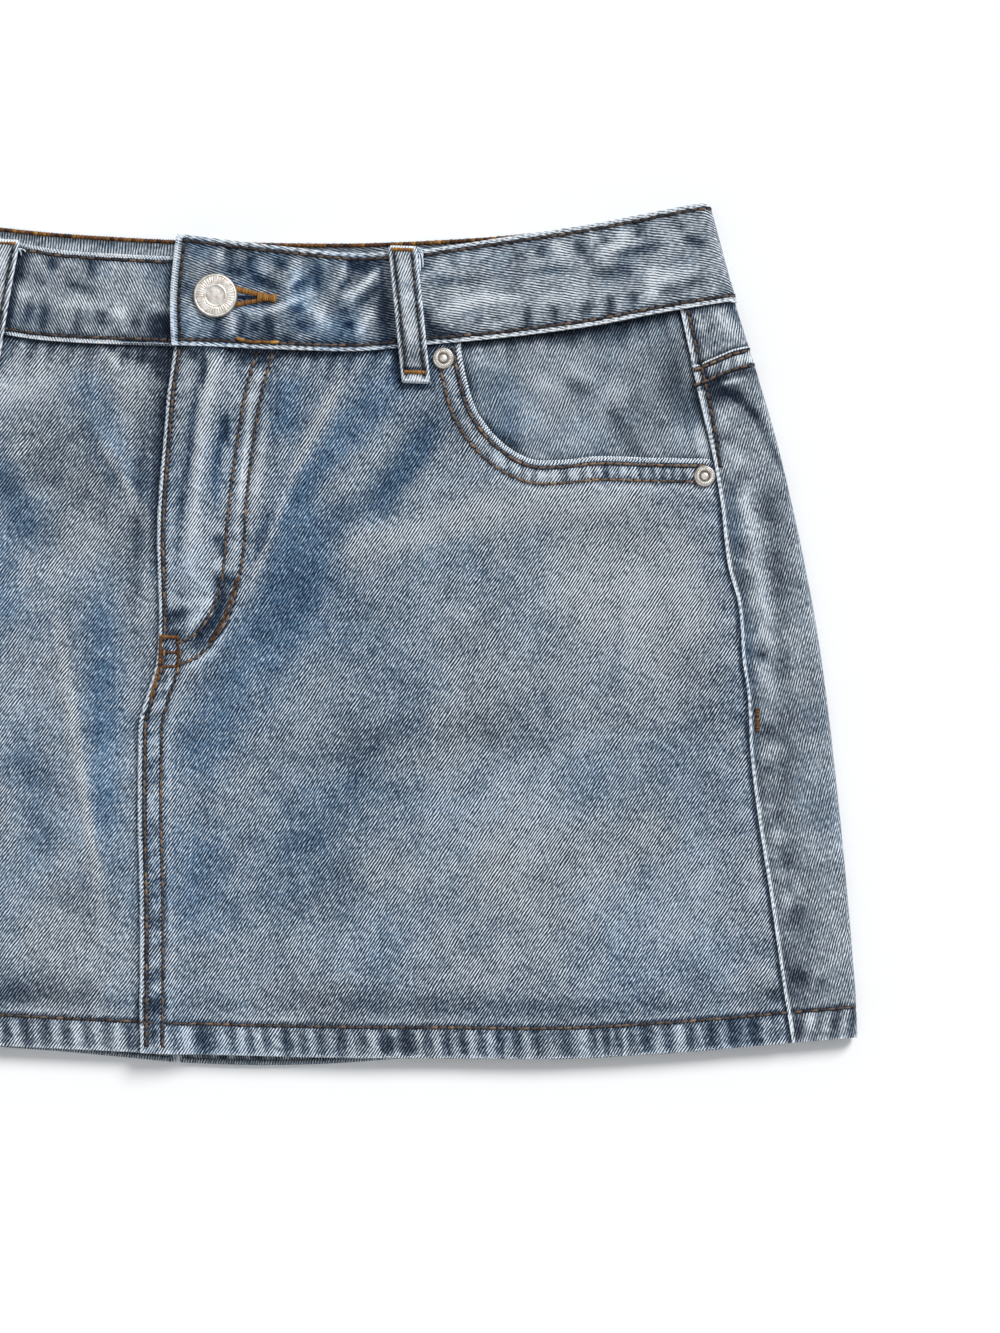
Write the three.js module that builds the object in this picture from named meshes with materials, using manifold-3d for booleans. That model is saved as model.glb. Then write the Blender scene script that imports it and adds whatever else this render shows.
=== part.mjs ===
// A denim mini skirt laid flat on its back: a waistband with belt loops, two fronts with scooped
// pockets and a lapped fly, back yokes and back panels that roll round to the front at each side.
// Millimetres. +X is the wearer's left, +Y points from the hem to the waist, +Z is up from the surface.
// "down" is the distance below the middle of the waist, measured along the skirt when it lies flat.
import * as THREE from "three";
import { mergeVertices } from "three/addons/utils/BufferGeometryUtils.js";
import Module from "manifold-3d";

// Driving sizes
const CLOTH = 1.2; // one layer of denim
const SEAM_GAP = 0.3; // between neighbouring pieces
const MID_DOWN = 149.9; // the "down" at y = 0, midway between the highest and the lowest edge
const GAP_LEAST = 1.3; // between front and back where they lie closest
const GAP_MOST = 3.5; // between them at the side folds, seams and hem
const BAND_CLOTH = 2.4; // the waistband is folded double
const BAND_FLOOR = 1.5; // the back of the waistband lies this far up, on its belt loops
const BAND_GAP = 3.0;
const BAND_PROUD = 0.8; // how far the waistband stands out past the cloth below it at the sides
const YOKE_FLOOR = 2.3; // the back cloth lies this far up at the waistband
const HEM_DEPTH = 12.5;
const HEM_EXTRA = 1.1; // the hem's turned-up layers, on the inside
const HEM_ROWS = [0.952, 0.956]; // shares of a panel's length
const HEM_START = 306; // above this the lapped edge has risen over the other front's hem

// How finely the pieces are divided
const FOLD_STEPS = 8;
const WRAP_COLUMNS = 3;
const BACK_COLUMNS = 10;
const WALKS = 6; // passes that find where a piece's columns and rows meet
const FRONT_ROWS = 20;
const BACK_ROWS = 14;

const BODY_FOLD = CLOTH + GAP_MOST / 2; // outer radius of the side fold
const BAND_FOLD = BAND_CLOTH + BAND_GAP / 2;
const BAND_TOP = BAND_FLOOR + 2 * BAND_FOLD; // height of the waistband's front face

// Half the width of the skirt at each height, laid flat
const OUTLINE = [
  { down: -26, half: 201 },
  { down: 12, half: 213 },
  { down: 72, half: 233.5 },
  { down: 143, half: 251 },
  { down: 215, half: 262.5 },
  { down: 287, half: 271.5 },
  { down: 306, half: 273 },
];
// Upper edge of the waistband, in front and behind
const BAND_UPPER = [
  { x: 0, front: 3.4, back: -4 },
  { x: 30, front: 3.2, back: -4.4 },
  { x: 60, front: 2, back: -5.3 },
  { x: 90, front: -3.2, back: -7.4 },
  { x: 120, front: -8.8, back: -10.4 },
  { x: 155, front: -15.4, back: -15.6 },
  { x: 180, front: -21.2, back: -21.2 },
  { x: 201, front: -26, back: -26 },
];
// Lower edge of the waistband, where the fronts and the yokes are sewn on
const BAND_LOWER = [
  { x: 0, front: 38.9, back: 36 },
  { x: 60, front: 38.6, back: 34.8 },
  { x: 90, front: 35, back: 32.6 },
  { x: 120, front: 31.2, back: 30 },
  { x: 155, front: 25.4, back: 25.4 },
  { x: 185, front: 18.6, back: 18.6 },
  { x: 213, front: 13, back: 13 },
];
// The hem's lower edge: the back drops a little past the front beside the centre
const HEM = [
  { x: 0, front: 321.6, back: 323.4 },
  { x: 60, front: 321, back: 322.4 },
  { x: 110, front: 319.6, back: 319.6 },
  { x: 155, front: 318.2, back: 318.2 },
  { x: 202, front: 314, back: 314 },
  { x: 234, front: 310.2, back: 310.2 },
  { x: 273, front: 305.5, back: 305.5 },
];
const BACK_DROP = { x: 25, reach: 80, depth: 2.7 };
// The fly edge and, below it, the edge of the lapped centre front seam
const CENTRE = [
  { down: -6, x: -6.6 },
  { down: 38, x: -9.4 },
  { down: 61, x: -12 },
  { down: 110, x: -14.2 },
  { down: 160, x: -12.6 },
  { down: 212, x: -18.2 },
  { down: 278, x: -15.5 },
  { down: 324, x: -13.5 },
];
// The side seam, which lies on top because the back rolls round to the front
const SIDE_SEAM = [
  { down: 13, x: 191 },
  { down: 46, x: 199.7 },
  { down: 73, x: 206.6 },
  { down: 114, x: 215.1 },
  { down: 143, x: 221.6 },
  { down: 172, x: 226.2 },
  { down: 208, x: 230.2 },
  { down: 251, x: 237.6 },
  { down: 308, x: 246.6 },
];
// Depth of the back yoke below the waistband, from the side to the centre back
const YOKE_DEPTH = { side: 17.5, centre: 44, half: 215, bend: 1.3 };
// The largest folds of the front: soft ridges (height above 0) and troughs (below 0)
const FOLDS = [
  { fromX: 58, fromDown: 48, toX: 18, toDown: 146, wide: 15, height: 0.62 },
  { fromX: 75, fromDown: 92, toX: 44, toDown: 170, wide: 22, height: -0.4 },
  { fromX: -38, fromDown: 74, toX: -16, toDown: 116, wide: 13, height: 0.5 },
  { fromX: -58, fromDown: 140, toX: -32, toDown: 262, wide: 16, height: 0.6 },
  { fromX: -84, fromDown: 150, toX: -62, toDown: 250, wide: 20, height: -0.4 },
  { fromX: 110, fromDown: 120, toX: 72, toDown: 232, wide: 30, height: 0.38 },
  { fromX: 176, fromDown: 112, toX: 150, toDown: 262, wide: 30, height: 0.34 },
  { fromX: -120, fromDown: 110, toX: -96, toDown: 230, wide: 28, height: 0.4 },
  { fromX: -178, fromDown: 120, toX: -160, toDown: 260, wide: 30, height: 0.36 },
];
// Fly
const LAP = 8; // how far the right front goes under the lapped edge
const FLAP_LIFT = CLOTH + SEAM_GAP;
const FLY = { wide: 40, bottomDown: 166 };
const FLAP_EASE = 16; // over this width the lapped front comes down again
const FLY_SHARES = [0, 0.03, 0.06, 0.09, 0.13, 0.17, 0.21]; // columns of the lapped front over the zip
const ZIP = { from: LAP + 0.4, to: 33, bottomDown: 150, tape: 0.8, sunk: 0.2 };
const CHAIN = { from: 11, to: 16, slope: 0.4, height: 0.7 };
// The slider's body, then its narrower pull tab
const SLIDER = [
  { down: 46, half: 3.3 },
  { down: 54, half: 3.8 },
  { down: 56, half: 2.2 },
  { down: 69, half: 2.2 },
  { down: 71, half: 1.2 },
];
const SLIDER_THICK = 1;
const CHAIN_MIDDLE = (CHAIN.from + CHAIN.to) / 2;
// The chain and the slider push the lapped front up
const ZIP_BULGES = [
  { height: 1.2, wide: 7, untilDown: 146 },
  { height: 2.6, wide: 8, untilDown: 74 },
];
// Waistband ends and button
const UNDER_END = 30; // the under end of the waistband reaches this far past the centre
const OVER_LIFT = BAND_CLOTH + SEAM_GAP;
const OVER_RISE = { height: 7.9, reach: 88 }; // the upper edge climbs towards the overlapping end
const BUTTON = { x: 5.7, down: 18.1 };
// From the post's foot, up and over the cap to its sunk middle
const BUTTON_PROFILE = [
  { r: 0, z: -OVER_LIFT },
  { r: 2.1, z: -OVER_LIFT },
  { r: 2.1, z: 0 },
  { r: 8, z: 0 },
  { r: 8.85, z: 0.7 },
  { r: 8.85, z: 1.3 },
  { r: 7.95, z: 2.3 },
  { r: 5.5, z: 2.7 },
  { r: 4.4, z: 2.2 },
  { r: 0, z: 2.3 },
];
const BUTTONHOLE = { eye: 2.6, half: 1, toX: 24 };
// Pocket
const POCKET = [
  { x: 103.6, down: 20 },
  { x: 104, down: 36 },
  { x: 106.6, down: 48 },
  { x: 110.6, down: 59.5 },
  { x: 117, down: 68.4 },
  { x: 125.2, down: 75.4 },
  { x: 135.3, down: 79.6 },
  { x: 147.3, down: 79.2 },
  { x: 160, down: 77.4 },
  { x: 182, down: 77.2 },
  { x: 222, down: 76.6 },
];
const FACING = { innerX: 95, bottomDown: 90, thick: 1 };
const POCKET_STEPS = 30;
const POCKET_FULL = 0.8; // how far the facing spreads front and back, as a share of the widest gap
const RIVET_RADIUS = 4.35;
const RIVET_PROFILE = [
  { r: 0, z: 0 },
  { r: 4.05, z: 0 },
  { r: RIVET_RADIUS, z: 0.5 },
  { r: 3.45, z: 1.1 },
  { r: 1.2, z: 0.9 },
  { r: 0.85, z: 1.7 },
  { r: 0, z: 1.9 },
];
const RIVETS = [
  { name: "inner", x: 97.6, down: 40.2 },
  { name: "outer", x: 203.6, down: 83.4 },
];
// Belt loops
const LOOP_WIDE = 11.2;
const FRONT_LOOP = { topX: 79.9, bottomX: 87.1, topDown: -3.6, bottomDown: 50.2 };
const BACK_LOOP = { thick: 1.2, foot: 2, below: 12.5 };
const BACK_LOOPS = [
  { name: "belt_loop_back_left", x: 112, slant: 4 },
  { name: "belt_loop_back_centre", x: 0, slant: 0 },
  { name: "belt_loop_back_right", x: -112, slant: -4 },
];
// How a front loop stands off what it lies on, from its upper end to its lower end
const LOOP_RISE = [
  { share: 0, lift: 0.3, thick: 2.2 },
  { share: 0.08, lift: 0.3, thick: 2.2 },
  { share: 0.15, lift: 1.2, thick: 1.3 },
  { share: 0.45, lift: 1.8, thick: 1.3 },
  { share: 0.78, lift: 1.3, thick: 1.3 },
  { share: 0.88, lift: 0.3, thick: 2.2 },
  { share: 1, lift: 0.3, thick: 2.2 },
];

const mix = (a, b, share) => a + (b - a) * share;
const clamp01 = (v) => Math.min(1, Math.max(0, v));
const ease = (from, to, at) => {
  const t = clamp01((at - from) / (to - from));
  return t * t * (3 - 2 * t);
};

// Reads a column of a table at a value of its key column, along a smooth curve through the rows
function read(table, key, column, at) {
  const last = table.length - 1;
  const x = Math.min(Math.max(at, table[0][key]), table[last][key]);
  let i = 0;
  while (i < last - 1 && x > table[i + 1][key]) i += 1;
  const slope = (k) => {
    const a = table[Math.max(0, k - 1)];
    const b = table[Math.min(last, k + 1)];
    return (b[column] - a[column]) / (b[key] - a[key]);
  };
  const span = table[i + 1][key] - table[i][key];
  const t = (x - table[i][key]) / span;
  const [p, q] = [table[i][column], table[i + 1][column]];
  const [m, n] = [slope(i) * span, slope(i + 1) * span];
  return (
    p * (1 + 2 * t) * (1 - t) ** 2 + m * t * (1 - t) ** 2 + q * t * t * (3 - 2 * t) + n * t * t * (t - 1)
  );
}

// Outlines
const halfWidth = (down) => read(OUTLINE, "down", "half", down);
const bandUpper = (x, side) => read(BAND_UPPER, "x", side, Math.abs(x));
const bandLower = (x, side) => read(BAND_LOWER, "x", side, Math.abs(x));
const centreX = (down) => read(CENTRE, "down", "x", down);
const sideSeamX = (down) => read(SIDE_SEAM, "down", "x", down);
const hemFront = (x) => read(HEM, "x", "front", Math.abs(x));

function hemBack(x) {
  const away = Math.abs(x - BACK_DROP.x) / BACK_DROP.reach;
  return read(HEM, "x", "back", Math.abs(x)) + BACK_DROP.depth * (away < 1 ? (1 - away ** 2) ** 2 : 0);
}

// The yoke seam runs level round the side and dips towards the centre back
function yokeSeam(x, side) {
  const share = side === "front" ? 0 : (1 - clamp01(Math.abs(x) / YOKE_DEPTH.half)) ** YOKE_DEPTH.bend;
  return bandLower(x, side) + mix(YOKE_DEPTH.side, YOKE_DEPTH.centre, share);
}

// Height of the back cloth's outer face: flat on the surface, and raised towards the waistband
function backHeight(x, down) {
  const seam = bandLower(x, "back");
  return YOKE_FLOOR * (1 - ease(seam + 15, seam + 42, down));
}

// 0 to 1: how far a fold's ridge or trough is felt at a point
function foldShare(fold, x, down) {
  const run = new THREE.Vector2(fold.toX - fold.fromX, fold.toDown - fold.fromDown);
  const from = new THREE.Vector2(x - fold.fromX, down - fold.fromDown);
  const t = from.dot(run) / run.lengthSq();
  const across = Math.abs(from.cross(run)) / run.length() / fold.wide;
  const ends = ease(-0.25, 0.25, t) * (1 - ease(0.75, 1.25, t));
  return Math.exp(-across * across) * ends;
}

// The space between front and back
function layerGap(x, down) {
  const half = halfWidth(down);
  const side = ease(half - 75, half - 14, Math.abs(x));
  const hem = ease(262, 300, down);
  const waist = 1 - ease(40, 90, down);
  const pocket = ease(FACING.innerX - 36, FACING.innerX - 4, Math.abs(x));
  const pocketEnd = 1 - ease(FACING.bottomDown, FACING.bottomDown + 24, down);
  let flat = (1 - side) * (1 - hem) * (1 - waist) * (1 - POCKET_FULL * pocket * pocketEnd);
  for (const fold of FOLDS.filter((f) => f.height > 0)) flat *= 1 - fold.height * foldShare(fold, x, down);
  let full = 1 - flat;
  for (const fold of FOLDS.filter((f) => f.height < 0)) {
    full *= 1 + fold.height * foldShare(fold, x, down) * (1 - side);
  }
  return mix(GAP_LEAST, GAP_MOST, full);
}

// Height of the front cloth's outer face where nothing lies under it but the back
const frontHeight = (x, down) => backHeight(x, down) + 2 * CLOTH + layerGap(x, down);

// The lapped left front lies on the right front's edge and the zip
function flapLift(x, down) {
  const inward = x - centreX(down);
  const wide = mix(FLY.wide, LAP + 2, ease(FLY.bottomDown - 22, FLY.bottomDown + 8, down));
  const bulge = ({ height, wide, untilDown }) =>
    height * Math.exp(-(((inward - CHAIN_MIDDLE) / wide) ** 2)) * (1 - ease(untilDown, untilDown + 16, down));
  const zip = Math.max(...ZIP_BULGES.map(bulge));
  const hem = HEM_EXTRA * ease(HEM_START - 12, HEM_START, down);
  return (FLAP_LIFT + hem) * (1 - ease(wide, wide + FLAP_EASE, inward)) + zip;
}

const at = (x, down, z) => new THREE.Vector3(x, MID_DOWN - down, z);

// A closed wall between an outer and an inner grid of points, both functions of two shares
function wall(across, along, outerPoint, innerPoint) {
  const grid = [outerPoint, innerPoint].map((point) => along.map((b) => across.map((a) => point(a, b))));
  const [n, m] = [across.length, along.length];
  const index = (layer, j, i) => (layer * m + j) * n + i;
  const faces = [];
  const quad = (a, b, c, d) => faces.push(a, b, c, a, c, d);
  for (let j = 0; j < m - 1; j += 1) {
    for (let i = 0; i < n - 1; i += 1) {
      quad(index(0, j, i), index(0, j + 1, i), index(0, j + 1, i + 1), index(0, j, i + 1));
      quad(index(1, j, i), index(1, j, i + 1), index(1, j + 1, i + 1), index(1, j + 1, i));
    }
    quad(index(0, j, 0), index(1, j, 0), index(1, j + 1, 0), index(0, j + 1, 0));
    quad(index(0, j, n - 1), index(0, j + 1, n - 1), index(1, j + 1, n - 1), index(1, j, n - 1));
  }
  for (let i = 0; i < n - 1; i += 1) {
    quad(index(0, 0, i), index(0, 0, i + 1), index(1, 0, i + 1), index(1, 0, i));
    quad(index(0, m - 1, i), index(1, m - 1, i), index(1, m - 1, i + 1), index(0, m - 1, i + 1));
  }
  return facingOut(new THREE.BufferGeometry().setFromPoints(grid.flat(2)).setIndex(faces));
}

// Turns a closed geometry's faces round if they point in
function facingOut(geometry) {
  const p = geometry.getAttribute("position");
  const index = geometry.index.array;
  const [a, b, c] = [new THREE.Vector3(), new THREE.Vector3(), new THREE.Vector3()];
  let volume = 0;
  for (let i = 0; i < index.length; i += 3) {
    a.fromBufferAttribute(p, index[i]);
    b.fromBufferAttribute(p, index[i + 1]);
    c.fromBufferAttribute(p, index[i + 2]);
    volume += a.dot(b.cross(c));
  }
  if (volume < 0) {
    for (let i = 0; i < index.length; i += 3) [index[i], index[i + 1]] = [index[i + 1], index[i]];
  }
  return geometry;
}

const shares = (count) => Array.from({ length: count + 1 }, (_, i) => i / count);

// Where two shares meet on a piece bounded by two edges in x and two in down, each a function of the other
function patchPoint(piece, a, b) {
  let down = mix(BAND_LOWER[0].front, HEM[0].front, b);
  let x = 0;
  for (let pass = 0; pass < WALKS; pass += 1) {
    x = mix(piece.inner(down), piece.outer(down), a);
    down = mix(piece.top(x), piece.bottom(x), b);
  }
  return { x, down };
}

// A piece of the front: its outer face is a height over the plan, and its wall hangs below that
function frontWall(piece, across, along) {
  const point = (depth) => (a, b) => {
    const { x, down } = patchPoint(piece, a, b);
    return at(x, down, piece.height(x, down) - depth(x, down));
  };
  return wall(across, along, point(() => 0), point(piece.thick));
}

// Rows down a panel, with a pair of rows where the hem's turned-up layers begin
const hemRows = (count) => [...shares(count).filter((b) => b < HEM_ROWS[0] - 0.5 / count), ...HEM_ROWS, 1];

const hemWall = (down, hem) => (down > hem - HEM_DEPTH ? CLOTH + HEM_EXTRA : CLOTH);

// A point on the half-round fold at a side, from the front at share 0 to the back at share 1
function foldPoint(side, start, down, floor, radius, lift, share) {
  const angle = Math.PI * (0.5 - share);
  const reach = radius + lift;
  return at(side * (start + reach * Math.cos(angle)), down, floor + radius + reach * Math.sin(angle));
}

const columnsOf = (stretch, count) => shares(count).map((share) => ({ stretch, share }));

// A piece that is rolled round a side: from the side seam on top, round the fold, to the centre back
function rolledPiece(side, top, bottom, rows, thick) {
  const columns = [
    ...columnsOf("front", WRAP_COLUMNS),
    ...columnsOf("fold", FOLD_STEPS).slice(1),
    ...columnsOf("back", BACK_COLUMNS).slice(1),
  ];
  const start = (down) => halfWidth(down) - BODY_FOLD;
  const xOf = ({ stretch, share }, down) => {
    if (stretch === "front") return mix(sideSeamX(down) + SEAM_GAP / 2, start(down), share);
    return stretch === "fold" ? start(down) : mix(start(down), SEAM_GAP / 2, share);
  };
  // A column's upper and lower end, found by walking to where its own line meets each edge
  const ends = columns.map((column) => {
    const layer = column.stretch === "back" ? "back" : "front";
    let [up, low] = [BAND_LOWER[0].front, HEM[0].front];
    for (let pass = 0; pass < WALKS; pass += 1) {
      up = top(side * xOf(column, up), layer);
      low = bottom(side * xOf(column, low), layer);
    }
    return { up, low };
  });
  const point = (depth) => (i, b) => {
    const { up, low } = ends[i];
    const { stretch, share } = columns[i];
    const down = mix(up, low, b);
    const x = xOf(columns[i], down);
    const floor = backHeight(x, down);
    const inward = depth(down, low);
    if (stretch === "fold") return foldPoint(side, x, down, floor, BODY_FOLD, -inward, share);
    return at(side * x, down, stretch === "front" ? frontHeight(x, down) - inward : floor + inward);
  };
  return wall([...columns.keys()], rows, point(() => 0), point(thick));
}

const FRONTS = {
  left: {
    inner: (down) => centreX(down),
    outer: (down) => sideSeamX(down) - SEAM_GAP / 2,
    height: (x, down) => frontHeight(x, down) + flapLift(x, down),
  },
  right: {
    inner: (down) => centreX(down) + LAP,
    outer: (down) => -sideSeamX(down) + SEAM_GAP / 2,
    height: frontHeight,
  },
};

const wasm = await Module();
wasm.setup();

function solidOf(geometry) {
  const bare = geometry.clone();
  bare.deleteAttribute("normal");
  bare.deleteAttribute("uv");
  const merged = mergeVertices(bare, 1e-4);
  return new wasm.Manifold(
    new wasm.Mesh({
      numProp: 3,
      vertProperties: merged.getAttribute("position").array,
      triVerts: new Uint32Array(merged.index.array),
    }),
  );
}

function geometryOf(solid) {
  const mesh = solid.getMesh();
  return new THREE.BufferGeometry()
    .setAttribute("position", new THREE.BufferAttribute(mesh.vertProperties, 3))
    .setIndex(new THREE.BufferAttribute(mesh.triVerts, 1));
}

// A prism that stands over a closed outline, to cut with
const prism = (shape, low, high) =>
  new THREE.ExtrudeGeometry(shape, {
    depth: high - low,
    bevelEnabled: false,
    curveSegments: 8,
  }).translate(0, 0, low);

// The outline that the pocket's mouth cuts out of a front, closed above the waistband's seam
function pocketPrism(side) {
  const mouth = new THREE.SplineCurve(POCKET.map((p) => new THREE.Vector2(side * p.x, MID_DOWN - p.down)));
  const corners = [POCKET.at(-1), POCKET[0]].map((p) => new THREE.Vector2(side * p.x, MID_DOWN));
  return prism(new THREE.Shape([...mouth.getPoints(POCKET_STEPS), ...corners]), -BAND_TOP, 2 * BAND_TOP);
}

function frontPanel(name) {
  const side = name === "left" ? 1 : -1;
  const piece = {
    ...FRONTS[name],
    top: (x) => bandLower(x, "front") + SEAM_GAP,
    bottom: hemFront,
    thick: (x, down) => hemWall(down, hemFront(x)),
  };
  const across = name === "left" ? [...FLY_SHARES, ...shares(15).slice(4)] : shares(16);
  const panel = frontWall(piece, across, hemRows(FRONT_ROWS));
  return geometryOf(solidOf(panel).subtract(solidOf(pocketPrism(side))));
}

// The cloth that shows in the pocket's mouth, one layer below the front
function pocketFacing(side) {
  const under = CLOTH + SEAM_GAP;
  const piece = {
    inner: () => side * FACING.innerX,
    outer: (down) => side * (sideSeamX(down) - SEAM_GAP / 2),
    top: (x) => bandLower(x, "front") + SEAM_GAP,
    bottom: () => FACING.bottomDown,
    height: (x, down) => frontHeight(x, down) - under,
    thick: () => FACING.thick,
  };
  return frontWall(piece, shares(9), shares(6));
}

// The waistband: one strip from its under end, round the back, to its overlapping end
function waistband() {
  const start = (down) => halfWidth(down) + BAND_PROUD - BAND_FOLD;
  const under = UNDER_END / start(BUTTON.down);
  const over = centreX(BUTTON.down) / start(BUTTON.down);
  const run = (stretch, side, from, to, count) =>
    shares(count).map((share) => ({ stretch, side, share: mix(from, to, share) }));
  const columns = [
    ...run("front", -1, under, -1, 14),
    ...run("fold", -1, 0, 1, FOLD_STEPS).slice(1),
    ...run("back", 0, -1, 1, 24).slice(1),
    ...run("fold", 1, 1, 0, FOLD_STEPS).slice(1),
    ...run("front", 1, 1, 0.34, 10).slice(1),
    ...run("front", 1, 0.34, over, 10).slice(1),
  ];
  const ends = columns.map(({ stretch, side, share }) => {
    if (stretch === "fold") return { up: BAND_UPPER.at(-1).front, low: BAND_LOWER.at(-1).front };
    let [up, low] = [BAND_UPPER[0].front, BAND_LOWER[0].front];
    for (let pass = 0; pass < WALKS; pass += 1) {
      const x = share * start(up);
      const rise = side === 1 ? OVER_RISE.height * Math.max(0, 1 - x / OVER_RISE.reach) : 0;
      up = bandUpper(x, stretch) - rise;
      low = bandLower(share * start(low), stretch);
    }
    return { up, low };
  });
  const point = (depth) => (i, b) => {
    const { stretch, side, share } = columns[i];
    const down = mix(ends[i].up, ends[i].low, b);
    if (stretch === "fold") return foldPoint(side, start(down), down, BAND_FLOOR, BAND_FOLD, -depth, share);
    if (stretch === "back") return at(share * start(down), down, BAND_FLOOR + depth);
    const x = i === columns.length - 1 ? centreX(down) : share * start(down);
    const lift = side === 1 ? OVER_LIFT * (1 - ease(UNDER_END + 4, UNDER_END + 34, x)) : 0;
    return at(x, down, BAND_TOP + lift - depth);
  };
  const strip = wall([...columns.keys()], shares(3), point(0), point(BAND_CLOTH));
  return geometryOf(solidOf(strip).subtract(solidOf(buttonholePrism())));
}

// The keyhole slot that the button's post stands in
function buttonholePrism() {
  const y = MID_DOWN - BUTTON.down;
  const shape = new THREE.Shape();
  const neck = Math.sqrt(BUTTONHOLE.eye ** 2 - BUTTONHOLE.half ** 2);
  const turn = Math.atan2(BUTTONHOLE.half, neck);
  shape.absarc(BUTTON.x, y, BUTTONHOLE.eye, turn, 2 * Math.PI - turn, false);
  shape.absarc(BUTTONHOLE.toX, y, BUTTONHOLE.half, -Math.PI / 2, Math.PI / 2, false);
  return prism(shape, BAND_TOP + SEAM_GAP / 2, 2 * BAND_TOP);
}

// A turned solid about Z, from a table of radii and heights above its seat
const lathe = (profile, sides) =>
  new THREE.LatheGeometry(
    profile.map(({ r, z }) => new THREE.Vector2(r, z)),
    sides,
  ).rotateX(Math.PI / 2);

// Shank button: a rimmed cap over the overlap, and its post down to the under end
function button() {
  const seat = BAND_TOP + OVER_LIFT + SEAM_GAP;
  const cap = lathe(BUTTON_PROFILE, 28);
  return cap.translate(BUTTON.x, MID_DOWN - BUTTON.down, seat);
}

// Rivet cap with its centre nub, seated on the highest cloth under its rim
function rivet(side, spot) {
  const { height } = side > 0 ? FRONTS.left : FRONTS.right;
  const rim = shares(8).map((share) => {
    const angle = 2 * Math.PI * share;
    return height(side * spot.x + RIVET_RADIUS * Math.cos(angle), spot.down + RIVET_RADIUS * Math.sin(angle));
  });
  return lathe(RIVET_PROFILE, 20).translate(side * spot.x, MID_DOWN - spot.down, Math.max(...rim) + SEAM_GAP);
}

// A front belt loop: folded feet at both ends, standing off the waistband between them
function frontLoop(side) {
  const { topX, bottomX, topDown, bottomDown } = FRONT_LOOP;
  const under = (x, down) => {
    const seam = bandLower(x, "front");
    return mix(BAND_TOP, frontHeight(side * x, down), ease(seam + 0.5, seam + 5.5, down));
  };
  const point = (face) => (a, b) => {
    const x = mix(topX, bottomX, b) + (a - 0.5) * LOOP_WIDE;
    const down = mix(topDown, bottomDown, b);
    const z = under(x, down) + read(LOOP_RISE, "share", "lift", b);
    return at(side * x, down, z + face * read(LOOP_RISE, "share", "thick", b));
  };
  return wall(shares(2), shares(18), point(1), point(0));
}

// A back belt loop lies under the waistband, flat on the surface, with a folded lower foot
function backLoop(spot) {
  const topDown = bandUpper(spot.x, "back") + 1;
  const bottomDown = bandLower(spot.x, "back") + BACK_LOOP.below;
  const point = (inner) => (a, b) => {
    const x = spot.x + spot.slant * b + (a - 0.5) * LOOP_WIDE;
    const thick = mix(BACK_LOOP.thick, BACK_LOOP.foot, ease(0.84, 0.9, b));
    return at(x, mix(topDown, bottomDown, b), inner * thick);
  };
  return wall(shares(2), [0, 0.2, 0.4, 0.6, 0.84, 0.9, 1], point(0), point(1));
}

// Zip tape with its closed chain as a raised strip, hidden under the fly
function zipTape() {
  const chainSides = [CHAIN.from, CHAIN.from + CHAIN.slope, CHAIN.to - CHAIN.slope, CHAIN.to];
  const across = [0, ...chainSides.map((v) => (v - ZIP.from) / (ZIP.to - ZIP.from)), 1];
  const raised = (x, down) => {
    const inward = x - centreX(down);
    return inward > CHAIN.from + CHAIN.slope / 2 && inward < CHAIN.to - CHAIN.slope / 2 ? CHAIN.height : 0;
  };
  const piece = {
    inner: (down) => centreX(down) + ZIP.from,
    outer: (down) => centreX(down) + ZIP.to,
    top: (x) => bandLower(x, "front") + 2 * SEAM_GAP,
    bottom: () => ZIP.bottomDown,
    height: (x, down) => frontHeight(x, down) - ZIP.sunk + raised(x, down),
    thick: (x, down) => ZIP.tape + raised(x, down),
  };
  return frontWall(piece, across, shares(9));
}

// Slider and pull tab as one piece on the chain
function zipSlider() {
  const [top, bottom] = [SLIDER[0].down, SLIDER.at(-1).down];
  const middle = centreX((top + bottom) / 2) + CHAIN_MIDDLE;
  const half = (down) => read(SLIDER, "down", "half", down);
  const piece = {
    inner: (down) => middle - half(down),
    outer: (down) => middle + half(down),
    top: () => top,
    bottom: () => bottom,
    height: (x, down) => frontHeight(x, down) + CHAIN.height - ZIP.sunk + SEAM_GAP + SLIDER_THICK,
    thick: () => SLIDER_THICK,
  };
  return frontWall(piece, shares(2), SLIDER.map(({ down }) => (down - top) / (bottom - top)));
}

// Materials
const matte = (color, roughness) => new THREE.MeshStandardMaterial({ color, roughness, metalness: 0 });
const metal = (color, roughness) => new THREE.MeshStandardMaterial({ color, roughness, metalness: 1 });
const denim = matte("#77869a", 0.92);
const bandDenim = matte("#6f7f92", 0.92);
const facingDenim = matte("#6e7c8b", 0.92);
const zipTapeCloth = matte("#2f3a4c", 0.9);
const silver = metal("#d8d2c6", 0.35);
const rivetMetal = metal("#d9cfc0", 0.4);
const brass = metal("#a98a4e", 0.4);

const skirt = new THREE.Group();
function add(name, geometry, material) {
  const mesh = new THREE.Mesh(geometry, material);
  mesh.name = name;
  skirt.add(mesh);
}

const bandSeam = (x, layer) => bandLower(x, layer) + SEAM_GAP;
const yokeLower = (x, layer) => yokeSeam(x, layer) - SEAM_GAP;
const hemLine = (x, layer) => (layer === "back" ? hemBack(x) : hemFront(x));

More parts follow.
